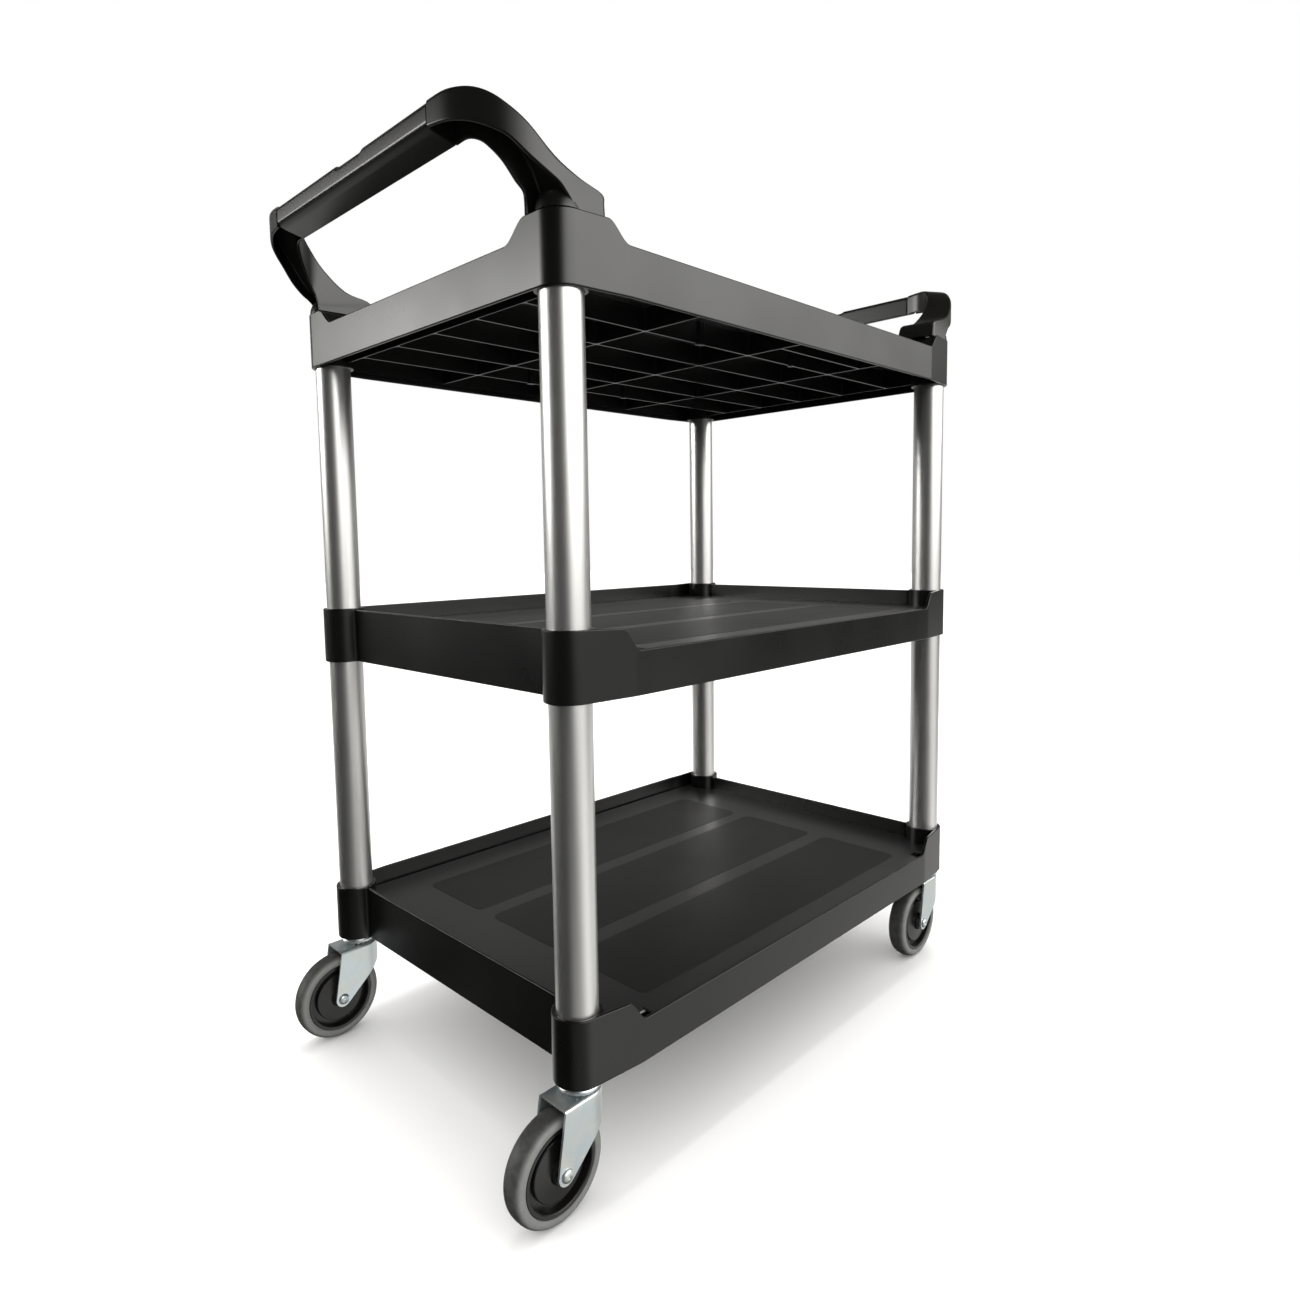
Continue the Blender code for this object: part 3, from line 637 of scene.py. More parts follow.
def publish(builder: bmesh.types.BMesh, name: str, body: str, finishes: Sequence[Finish],
            stands_for: Sequence[str] = (), place: Optional[Matrix] = None, sheet: float = 0.0,
            edge: float = 0.0) -> bpy.types.Object:
    """Turn a finished bmesh into a piece of the cart.

    Args:
        builder: The mesh, freed afterwards.
        name: The piece's name.
        body: The moving body it rides on.
        finishes: One finish for each material index.
        stands_for: The plain solids it takes the place of.
        place: Where it goes, worked into the mesh.
        sheet: Wall thickness given to an open sheet, inwards.
        edge: Size of a fine round on all its edges.

    Returns:
        The new object.
    """
    move(builder, place)
    mesh = bpy.data.meshes.new(name)
    builder.to_mesh(mesh)
    builder.free()
    for finish in finishes:
        mesh.materials.append(material_of(finish))
    mesh.shade_smooth()
    mesh.set_sharp_from_angle(angle=math.radians(CREASE_ANGLE))
    piece = bpy.data.objects.new(name, mesh)
    bpy.context.scene.collection.objects.link(piece)
    if sheet:
        walls = piece.modifiers.new("sheet", "SOLIDIFY")
        walls.thickness, walls.offset, walls.use_even_offset = sheet, -1.0, True
    if edge:
        rounds = piece.modifiers.new("fine_edges", "BEVEL")
        rounds.width, rounds.segments, rounds.angle_limit = edge, LEVELS, math.radians(CREASE_ANGLE)
    evened = piece.modifiers.new("even_shading", "WEIGHTED_NORMAL")
    evened.keep_sharp = True
    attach(piece, body)
    if stands_for:
        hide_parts(*stands_for)
    LOG.info("made %s on %s with %d faces", name, body, len(mesh.polygons))
    return piece


# ---------------------------------------------------------------- trays
@dataclass
class Tray:
    """What the three moulded trays have in common: a skirt, a deck, sockets and a rib grid."""

    node: str
    label: str
    wall: float = 0.0040
    column_radius: float = 0.0255
    bore_radius: float = 0.0213
    side_y: float = 0.2550
    crease_x: float = 0.3020
    lip_foot_x: float = 0.2955
    lip_top_x: float = 0.3170
    shoulder_angle: float = 84.0
    rim_drop: float = 0.0020
    rim_round: float = 0.0011
    deck_drop: float = 0.0235
    deck_plate: float = 0.0040
    rib_half: float = 0.0011
    rib_x: tuple[float, ...] = (-0.352, -0.184, 0.0, 0.184, 0.352)
    rib_y: tuple[float, ...] = (-0.2450, -0.159, -0.0795, 0.0, 0.0795, 0.159, 0.2450)
    rib_rise: float = 0.0060
    rib_fillet: float = 0.0045
    panel_half_x: float = 0.2670
    panels: tuple[Point2, ...] = ((-0.2250, -0.1040), (-0.0780, 0.0490), (0.0730, 0.1940))
    panel_rise: float = 0.0004
    panel_radius: float = 0.0120
    socket_gap: float = 0.0004

    def __post_init__(self) -> None:
        """Read the tray's levels from its solid."""
        self.base, self.top = (corner.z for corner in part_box(self.node))
        self.deck_top = self.top - self.deck_drop
        self.deck_under = self.deck_top - self.deck_plate / 2

    @property
    def shoulder_slope(self) -> float:
        """How fast the long side runs out between a corner column and the crease."""
        start_x, start_y = self.shoulder_start
        return (self.side_y - start_y) / (start_x - self.crease_x)

    @property
    def shoulder_start(self) -> Point2:
        """Where the column's round ends and the long side begins.

        Returns:
            The point in plan, in the +X +Y corner.
        """
        post_x, post_y = Corner.REAR_RIGHT.post
        angle = math.radians(self.shoulder_angle)
        return post_x + self.column_radius * math.cos(angle), post_y + self.column_radius * math.sin(angle)

    def shoulder_point(self, x: float) -> Point2:
        """A point of the long side between a column and the crease."""
        return x, self.side_y - max(0.0, x - self.crease_x) * self.shoulder_slope

    def outline(self) -> list[Point2]:
        """Outer plan of the skirt."""
        raise NotImplementedError

    def high_at(self, x: float, y: float) -> float:
        """Top edge of the skirt."""
        raise NotImplementedError

    def plate(self) -> bmesh.types.BMesh:
        """Make the deck's own plate."""
        raise NotImplementedError

    def skirt(self) -> None:
        """Build the outer wall."""
        builder = ring_wall(self.outline(), self.wall, lambda x, y: self.base, self.high_at)
        middle = (self.base + self.top) / 2

        def is_rim(edge: bmesh.types.BMEdge) -> bool:
            """Whether an edge runs along the wall's top or bottom."""
            first, second = (vert.co.z > middle for vert in edge.verts)
            return first == second

        soften(builder, self.rim_round, segments=3, only=is_rim)
        self.publish(builder, "skirt", FOAM_SKIN)

    def deck(self) -> None:
        """Build the deck: its plate, which shows as glossy bands, and the panels between them."""
        builder = self.plate()
        for start_y, end_y in self.panels:
            add(builder, self.panel(start_y, end_y), 1)
        self.publish(builder, "deck", DECK_BAND, DECK_PANEL)

    def publish(self, builder: bmesh.types.BMesh, name: str, *finishes: Finish) -> None:
        """Publish one of the tray's pieces."""
        publish(builder, f"{self.label}_{name}", "root", finishes, [self.node])

    def rib_grid(self) -> bmesh.types.BMesh:
        """Make the rib lattice under the deck.

        Returns:
            The lattice as one closed body with filleted crossings.
        """
        builder = bmesh.new()
        cells_x, cells_y = len(self.rib_x) - 1, len(self.rib_y) - 1
        bmesh.ops.create_grid(builder, x_segments=cells_x, y_segments=cells_y, size=1.0)
        for vert in builder.verts:
            vert.co.x = self.rib_x[round((vert.co.x + 1.0) / 2.0 * cells_x)]
            vert.co.y = self.rib_y[round((vert.co.y + 1.0) / 2.0 * cells_y)]
            vert.co.z = self.base + self.rib_rise
        cells = list(builder.faces)
        builder.normal_update()
        bmesh.ops.inset_individual(builder, faces=cells, thickness=self.rib_half, use_even_offset=True)
        bmesh.ops.delete(builder, geom=cells, context="FACES_ONLY")
        grown = bmesh.ops.extrude_face_region(builder, geom=list(builder.faces))
        for vert in raised(grown):
            vert.co.z = self.deck_under
        bmesh.ops.recalc_face_normals(builder, faces=builder.faces)
        inner_x, inner_y = self.rib_x[-1] - 1e-4, self.rib_y[-1] - 1e-4

        def is_upright(edge: bmesh.types.BMEdge) -> bool:
            """Whether an edge is a cell's own corner.

            Args:
                edge: The edge.

            Returns:
                True for an upright edge inside the lattice.
            """
            middle = (edge.verts[0].co + edge.verts[1].co) / 2
            rises = abs(edge.verts[0].co.z - edge.verts[1].co.z) > self.rib_rise
            return rises and abs(middle.x) < inner_x and abs(middle.y) < inner_y

        soften(builder, self.rib_fillet, segments=3, only=is_upright)
        return builder

    def panel(self, start_y: float, end_y: float) -> bmesh.types.BMesh:
        """Make one round-cornered textured panel of the deck.

        Args:
            start_y: Where it starts across the deck.
            end_y: Where it ends.

        Returns:
            The panel.
        """
        deck, half_y, radius = self.deck_top, (end_y - start_y) / 2, self.panel_radius
        quarter = arc((self.panel_half_x - radius, half_y - radius), radius, 0.0, 90.0, 6)
        builder = slab(all_round(quarter), deck - self.deck_plate / 2, deck)
        bmesh.ops.translate(builder, vec=(0.0, (start_y + end_y) / 2, 0.0), verts=builder.verts)
        soften(builder, self.panel_rise * 0.8,
               only=lambda edge: min(vert.co.z for vert in edge.verts) > deck - MERGE)
        return builder

    def add_sockets(self, builder: bmesh.types.BMesh, low: float, high: float) -> None:
        """Add the four sleeves that grip the uprights, a hair inside the skirt.

        Args:
            builder: The mesh that takes them.
            low: Height of their lower ends.
            high: Height of their upper ends.
        """
        outer, bore = self.column_radius - self.socket_gap, self.bore_radius
        for corner in Corner:
            sleeve = turned([(outer, low), (outer, high), (bore, high), (bore, low)], 56)
            soften(sleeve, 0.0010)
            add(builder, sleeve, matrix=Matrix.Translation((*corner.post, 0.0)))


@dataclass
class OpenTray(Tray):
    """A lower tray: rims on three sides, a low lip on the fourth and recessed short ends."""

    end_x: float = 0.3570
    fillet: float = 0.0030
    lip_step: float = 0.0008
    lip_bite: float = 0.0016
    front_gap: float = 0.0080
    back_gap: float = 0.0080
    column_slack: float = 0.0006
    drain_notch: Point3 = (-0.0110, 0.0060, 0.0080)

    def outline(self) -> list[Point2]:
        """Outer plan of the skirt, round the columns.

        Returns:
            The closed outline.
        """
        post_x, post_y = Corner.REAR_RIGHT.post
        fillet_x = self.end_x + self.fillet
        reach = self.column_radius + self.fillet
        fillet_y = post_y - math.sqrt(reach ** 2 - (fillet_x - post_x) ** 2)
        turn = math.degrees(math.atan2(post_y - fillet_y, post_x - fillet_x))
        quarter = [(self.end_x, fillet_y - 0.010)]
        quarter += arc((fillet_x, fillet_y), self.fillet, 180.0, turn, 5)
        quarter += arc((post_x, post_y), self.column_radius, turn - 180.0, self.shoulder_angle, 26)[1:]
        span = self.lip_top_x - self.lip_foot_x
        quarter += [self.shoulder_point(self.lip_foot_x + span * share / 8) for share in range(8, -1, -1)]
        return all_round(quarter)

    def high_at(self, x: float, y: float) -> float:
        """Top edge of the skirt: full height round a column, low along the lip.

        Args:
            x: Place along the cart.
            y: Place across it.

        Returns:
            The height.
        """
        post_x, post_y = Corner.REAR_RIGHT.post
        from_post = math.hypot(abs(x) - post_x, abs(y) - post_y)
        if from_post < self.column_radius + self.column_slack and abs(x) > self.end_x - self.fillet:
            return self.top
        rim, lip = self.top - self.rim_drop, self.deck_top - self.lip_step
        if y < -self.side_y + 3 * self.wall:
            share = (abs(x) - self.lip_foot_x) / (self.lip_top_x - self.lip_foot_x)
            return lip + (rim - lip) * smooth_step(share)
        return rim

    def plate(self) -> bmesh.types.BMesh:
        """Make the deck's plate with its drain notches by the lip.

        Returns:
            The plate.
        """
        inner_x = self.end_x - self.wall / 2
        back_y, step_y = self.side_y - self.back_gap, self.front_gap - self.side_y
        before, after, depth = self.drain_notch
        notch_in, notch_out, notch_y = self.lip_foot_x + before, self.lip_foot_x + after, step_y + depth
        right = [(inner_x, back_y), (inner_x, step_y), (notch_out, step_y), (notch_out, notch_y),
                 (notch_in, notch_y), (notch_in, self.lip_bite - self.side_y)]
        builder = slab(right + [(-x, y) for x, y in reversed(right)],
                       self.deck_top - self.deck_plate, self.deck_top - self.panel_rise)
        soften(builder, 0.0010, only=lambda edge: max(v.co.y for v in edge.verts) < notch_y + 0.0020)
        return builder

    def build(self) -> None:
        """Build the whole tray."""
        self.skirt()
        self.deck()
        self.publish(self.rib_grid(), "ribs", RIB_SKIN)
        sockets = bmesh.new()
        self.add_sockets(sockets, self.base + 0.0004, self.top - 0.0003)
        self.publish(sockets, "sockets", FOAM_SKIN)


@dataclass
class TopTray(Tray):
    """The top tray: a shallow rim that swells into a tower under each handle foot."""

    rim_drop: float = 0.0190
    rim_round: float = 0.0014
    deck_drop: float = 0.0310
    swell_x: Point2 = (0.3010, 0.3260)
    swell_y: Point2 = (0.1740, 0.2040)
    swell_steps: int = 10
    deck_gap: float = 0.0075
    deck_corner: float = 0.0200
    tower_inset: float = 0.0015
    tower_run: float = 0.0040
    tower_root: float = 0.0020
    tower_cells: int = 28
    short_rib: Sequence[Point2] = ((0.0, -0.2100), (0.184, -0.2100), (0.184, -0.2078), (0.0, -0.2078))
    boss_radius: float = 0.0044
    boss_bore: float = 0.0018
    boss_shift: float = 0.0900

    def outline(self) -> list[Point2]:
        """Outer plan of the skirt, round at the corners.

        Returns:
            The closed outline.
        """
        post_x, post_y = Corner.REAR_RIGHT.post
        end_x = post_x + self.column_radius
        low, high = self.swell_y
        shares = [step / self.swell_steps for step in range(self.swell_steps + 1)]
        quarter = [(end_x, low + (high - low) * share) for share in shares]
        quarter += arc((post_x, post_y), self.column_radius, 0.0, self.shoulder_angle, 14)
        low, high = self.swell_x
        quarter += [self.shoulder_point(high + (low - high) * share) for share in shares]
        return all_round(quarter)

    def swell(self, x: float, y: float) -> float:
        """How far a plan point rises from the rim, 0, to a tower's top, 1.

        Args:
            x: Place along the cart.
            y: Place across it.

        Returns:
            The share of the rise.
        """
        along_x = smooth_step((abs(x) - self.swell_x[0]) / (self.swell_x[1] - self.swell_x[0]))
        along_y = smooth_step((abs(y) - self.swell_y[0]) / (self.swell_y[1] - self.swell_y[0]))
        return along_x * along_y

    def high_at(self, x: float, y: float) -> float:
        """Top edge of the skirt."""
        return self.top - self.rim_drop + self.rim_drop * self.swell(x, y)

    def plate(self) -> bmesh.types.BMesh:
        """Make the deck's plate.

        Returns:
            The plate, with round corners.
        """
        half_x = Corner.REAR_RIGHT.post[0] + self.column_radius - self.wall / 2
        half_y, radius = self.side_y - self.deck_gap, self.deck_corner
        quarter = arc((half_x - radius, half_y - radius), radius, 0.0, 90.0, 6)
        return slab(all_round(quarter), self.deck_top - self.deck_plate, self.deck_top - self.panel_rise)

    def tower(self) -> bmesh.types.BMesh:
        """Make the swelling body under one handle foot, in the +X +Y corner.

        Returns:
            The body, open underneath where the deck closes it.
        """
        foot, crest = self.deck_top - self.tower_inset, self.top - 0.0002
        start_x, start_y = self.swell_x[0] - self.tower_run, self.swell_y[0] - self.tower_run
        post_x, post_y = Corner.REAR_RIGHT.post
        reach, cells = self.column_radius - self.tower_inset, self.tower_cells
        rows = []
        for row in range(cells + 1):
            x = start_x + (post_x + reach - start_x) * row / cells
            line = []
            for column in range(cells + 1):
                y = start_y + (post_y + reach - start_y) * column / cells
                over = math.hypot(max(0.0, x - post_x), max(0.0, y - post_y)) / reach
                spot = (post_x + (x - post_x) / over, post_y + (y - post_y) / over) if over > 1.0 else (x, y)
                line.append(Vector((*spot, foot + (crest - foot) * self.swell(*spot))))
            rows.append(line)
        builder = woven(rows, wrap=False, cap=False)
        grown = bmesh.ops.extrude_face_region(builder, geom=list(builder.faces))
        for vert in raised(grown):
            vert.co.z = foot - self.tower_root
        bmesh.ops.recalc_face_normals(builder, faces=builder.faces)
        return builder

    def towers(self) -> None:
        """Build the four towers."""
        builder = bmesh.new()
        for corner in Corner:
            add(builder, self.tower(), matrix=corner.mirror)
        self.publish(builder, "towers", FOAM_SKIN)

    def underside(self) -> None:
        """Build the ribs, the extra short rib, the sleeves for the uprights and the screw bosses."""
        builder = self.rib_grid()
        low, high = self.base + self.rib_rise, self.deck_under
        add(builder, slab(self.short_rib, low, high))
        self.add_sockets(builder, self.base + 0.0006, high)
        outer, bore, foot = self.boss_radius, self.boss_bore, low - 0.001
        for x in self.rib_x[1:-1]:
            for y in (self.rib_y[1], self.rib_y[-2]):
                boss = turned([(outer, foot), (outer, high), (bore, high), (bore, foot)], 20)
                soften(boss, 0.0004)
                shift = math.copysign(self.boss_shift, x or 1.0)
                add(builder, boss, matrix=Matrix.Translation((x - shift, y, 0.0)))
        self.publish(builder, "ribs", RIB_SKIN)

    def build(self) -> None:
        """Build the whole tray."""
        self.skirt()
        self.deck()
        self.towers()
        self.underside()


# ---------------------------------------------------------------- uprights
@dataclass
class Uprights:
    """The eight lengths of anodised tube."""

    wall: float = 0.0016
    steps: int = 72
    edge: float = 0.0004

    def build(self) -> None:
        """Build every tube between its sockets."""
        for corner in Corner:
            for level in ("lower", "upper"):
                self.tube(corner, level)

    def tube(self, corner: Corner, level: str) -> None:
        """Build one tube.

        Args:
            corner: Its corner.
            level: "lower" or "upper".
        """
        node = f"{corner.label}_{level}_upright"
        low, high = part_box(node)
        radius = (high.x - low.x) / 2
        bore = radius - self.wall
        builder = turned([(radius, low.z), (radius, high.z), (bore, high.z), (bore, low.z)], self.steps)
        soften(builder, self.edge)
        publish(builder, f"{corner.label}_{level}_tube", "root", [ALUMINIUM], [node],
                Matrix.Translation((*corner.post, 0.0)))


# ---------------------------------------------------------------- handles
ARM_ROUNDS = (0.0014, 0.0042, 0.0045, 0.0014, 0.0012, 0.0030, 0.0030, 0.0012)
GRIP_ROUNDS = (0.0020, 0.0035, 0.0030, 0.0030, 0.0025, 0.0025, 0.0030)


@dataclass(frozen=True)
class ArmSection:
    """One cross-section of a handle arm: both skins' low and top edges, and how deep the channel is."""

    outer_low: Vector
    outer_top: Vector
    inner_top: Vector
    inner_low: Vector
    hollow: float

    def loop(self, skin: float) -> list[Vector]:
        """The rounded channel outline, with walls of the given thickness.

        Args:
            skin: Thickness of the walls.

        Returns:
            The outline's points, equally many for every section.
        """
        across = (self.inner_low - self.outer_low).normalized() * skin
        above = (self.inner_top - self.outer_top).normalized() * skin
        mouth_out, mouth_in = self.outer_low + across, self.inner_low - across
        floor_out = mouth_out.lerp(self.outer_top + above, self.hollow)
        floor_in = mouth_in.lerp(self.inner_top - above, self.hollow)
        corners = [self.outer_low, self.outer_top, self.inner_top, self.inner_low,
                   mouth_in, floor_in, floor_out, mouth_out]
        return rounded_loop(corners, ARM_ROUNDS)


@dataclass
class PushHandles:
    """The two push handles: four swept arms, two grips and their screws."""

    seam_y: float = 0.1570
    seam_half: float = 0.0004
    bend_y: float = 0.1600
    outer_centre_x: float = 0.3657
    inner_centre_x: float = 0.3724
    outer_radius: float = 0.0850
    inner_radius: float = 0.0470
    skin: float = 0.0032
    hollow: float = 0.72
    steps: int = 4
    foot_sections: tuple[tuple[Point3, ...], ...] = (
        ((0.3615, 0.2468, 0.0008), (0.324, 0.247, 0.0008), (0.307, 0.199, 0.0008), (0.384, 0.204, 0.0008)),
        ((0.365, 0.2466, 0.007), (0.3246, 0.247, 0.012), (0.3105, 0.199, 0.013), (0.3842, 0.2042, 0.005)),
        ((0.370, 0.246, 0.013), (0.327, 0.247, 0.0215), (0.320, 0.199, 0.0215), (0.3845, 0.2045, 0.0085)),
        ((0.3765, 0.245, 0.0195), (0.352, 0.246, 0.0285), (0.348, 0.201, 0.0285), (0.3855, 0.2055, 0.0135)),
        ((0.388, 0.2425, 0.026), (0.379, 0.244, 0.0405), (0.374, 0.206, 0.0525), (0.387, 0.2055, 0.0195)))
    foot_hollows: tuple[float, ...] = (0.20, 0.22, 0.30, 0.50, 0.66)
    bend_heights: tuple[tuple[float, float, float, float, float], ...] = (
        (65.0, 0.0360, 0.0625, 0.0735, 0.0270), (53.0, 0.0505, 0.0765, 0.0822, 0.0417),
        (42.0, 0.0580, 0.0864, 0.0895, 0.0520), (30.0, 0.0638, 0.0922, 0.0933, 0.0605),
        (15.0, 0.0680, 0.0943, 0.0943, 0.0645))
    seam_heights: tuple[float, float, float, float] = (0.0705, 0.0932, 0.0932, 0.0635)
    grip_section: tuple[Point2, ...] = ((0.4200, 0.0635), (0.4445, 0.0690), (0.4505, 0.0730), (0.4505, 0.0895),
                                        (0.4472, 0.0926), (0.4232, 0.0926), (0.4200, 0.0896))
    thumb_notch: Point3 = (-0.0350, 0.0100, 0.0022)
    notch_ramp: float = 0.0060
    tapers: tuple[Point2, ...] = ((0.0003, 0.955), (0.0010, 0.985))
    corner_rings: tuple[Point3, ...] = (
        (0.0006, 0.0218, -0.0020), (0.0060, 0.0214, -0.0018), (0.0110, 0.0200, -0.0014),
        (0.0150, 0.0180, -0.0008), (0.0180, 0.0155, 0.0000))

    def __post_init__(self) -> None:
        """Read the towers' top from the top tray's solid."""
        self.tower_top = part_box("top_shelf")[1].z

    def bend_section(self, degrees: float, heights: Sequence[float]) -> ArmSection:
        """A section of the bend, for the +X +Y arm.

        Args:
            degrees: Where it stands round the bend, 0 at the grip.
            heights: The four edges' heights over the tower.

        Returns:
            The section.
        """
        cosine, sine = math.cos(math.radians(degrees)), math.sin(math.radians(degrees))
        outer = (self.outer_centre_x + self.outer_radius * cosine, self.bend_y + self.outer_radius * sine)
        inner = (self.inner_centre_x + self.inner_radius * cosine, self.bend_y + self.inner_radius * sine)
        low_out, top_out, top_in, low_in = (self.tower_top + height for height in heights)
        return ArmSection(Vector((*outer, low_out)), Vector((*outer, top_out)),
                          Vector((*inner, top_in)), Vector((*inner, low_in)), self.hollow)

    def sections(self) -> list[ArmSection]:
        """The arm's sections from its foot to the grip seam.

        Returns:
            The sections, in order.
        """
        made = []
        for corners, hollow in zip(self.foot_sections, self.foot_hollows):
            points = [Vector((x, y, self.tower_top + height)) for x, y, height in corners]
            made.append(ArmSection(*points, hollow))
        made += [self.bend_section(degrees, heights) for degrees, *heights in self.bend_heights]
        last = self.bend_section(0.0, self.seam_heights)
        seam = [Vector((point.x, self.seam_y + self.seam_half, point.z))
                for point in (last.outer_low, last.outer_top, last.inner_top, last.inner_low)]
        return made + [ArmSection(*seam, self.hollow)]

    def arm(self) -> bmesh.types.BMesh:
        """Make the +X +Y arm as a channel swept through its sections.

        Returns:
            The arm.
        """
        loops = [section.loop(self.skin) for section in self.sections()]
        rows = []
        for index in range(len(loops) - 1):
            before, after = loops[max(index - 1, 0)], loops[min(index + 2, len(loops) - 1)]
            rows += [self.between(before, loops[index], loops[index + 1], after, step / self.steps)
                     for step in range(self.steps)]
        return woven(rows + [loops[-1]], wrap=True, cap=True)

    @staticmethod
    def between(before: Sequence[Vector], start: Sequence[Vector], end: Sequence[Vector],
                after: Sequence[Vector], share: float) -> list[Vector]:
        """A smooth in-between loop, by the rule of Catmull and Rom.

        Args:
            before: The loop before the span.
            start: Where the span starts.
            end: Where it ends.
            after: The loop after the span.
            share: How far along the span.

        Returns:
            The loop there.
        """
        square, cube = share * share, share ** 3
        return [0.5 * (2 * s + (e - b) * share + (2 * b - 5 * s + 4 * e - a) * square
                       + (3 * s - b - 3 * e + a) * cube) for b, s, e, a in zip(before, start, end, after)]

    def corner_post(self) -> bmesh.types.BMesh:
        """Make the tower's round corner carried on upwards inside the +X +Y arm's channel.

        Returns:
            The post.
        """
        post_x, post_y = Corner.REAR_RIGHT.post
        rows = []
        for height, radius, inboard in self.corner_rings:
            ring = arc((post_x - inboard, post_y - inboard), radius, 0.0, 360.0, 40)[:-1]
            rows.append([Vector((x, y, self.tower_top + height)) for x, y in ring])
        return woven(rows, wrap=True, cap=True)

    def grip(self) -> bmesh.types.BMesh:
        """Make the +X grip with its thumb notch and its tapered ends.

        Returns:
            The grip.
        """
        corners = [Vector((x, 0.0, self.tower_top + height)) for x, height in self.grip_section]
        middle = sum(corners, Vector()) / len(corners)
        loop = rounded_loop(corners, GRIP_ROUNDS, 3)
        half = self.seam_y - self.seam_half
        (start, end, depth), ramp = self.thumb_notch, self.notch_ramp
        stations = [-half, -half + 0.0006, -half + 0.0018, -0.08, start - ramp, start - ramp / 2, start, 0.0,
                    end, end + ramp / 2, end + ramp, 0.08, half - 0.0018, half - 0.0006, half]
        rows = []
        for y in stations:
            dip = depth * smooth_step((y - start + ramp) / ramp) * smooth_step((end + ramp - y) / ramp)
            pull = next((taper for reach, taper in self.tapers if half - abs(y) < reach), 1.0)
            row = []
            for point in loop:
                height = point.z - (dip if point.z > middle.z + 0.003 else 0.0) - middle.z
                row.append(Vector((middle.x + (point.x - middle.x) * pull, y, middle.z + height * pull)))
            rows.append(row)
        return woven(rows, wrap=True, cap=True)

    def build(self) -> None:
        """Build the arms, the grips and the screws' finish."""
        for corner in Corner:
            builder = self.arm()
            add(builder, self.corner_post())
            publish(builder, corner.label + "_push_arm", "root", [HANDLE_SKIN],
                    [corner.label + "_handle_arm"], corner.mirror)
            for place in ("outer", "inner"):
                dress(f"{corner.label}_handle_screw_{place}", ZINC)
        for label, side in (("left", -1), ("right", 1)):
            publish(self.grip(), label + "_push_grip", "root", [HANDLE_SKIN],
                    [label + "_handle_grip"], Matrix.Diagonal((side, 1.0, 1.0, 1.0)))


def dress(node: str, finish: Finish) -> None:
    """Give a plain solid that stays a finish of its own.

    Args:
        node: The solid's name.
        finish: Its finish.
    """
    for slot in frame["nodes"][node].material_slots:
        slot.material = material_of(finish)
    LOG.info("kept %s", node)


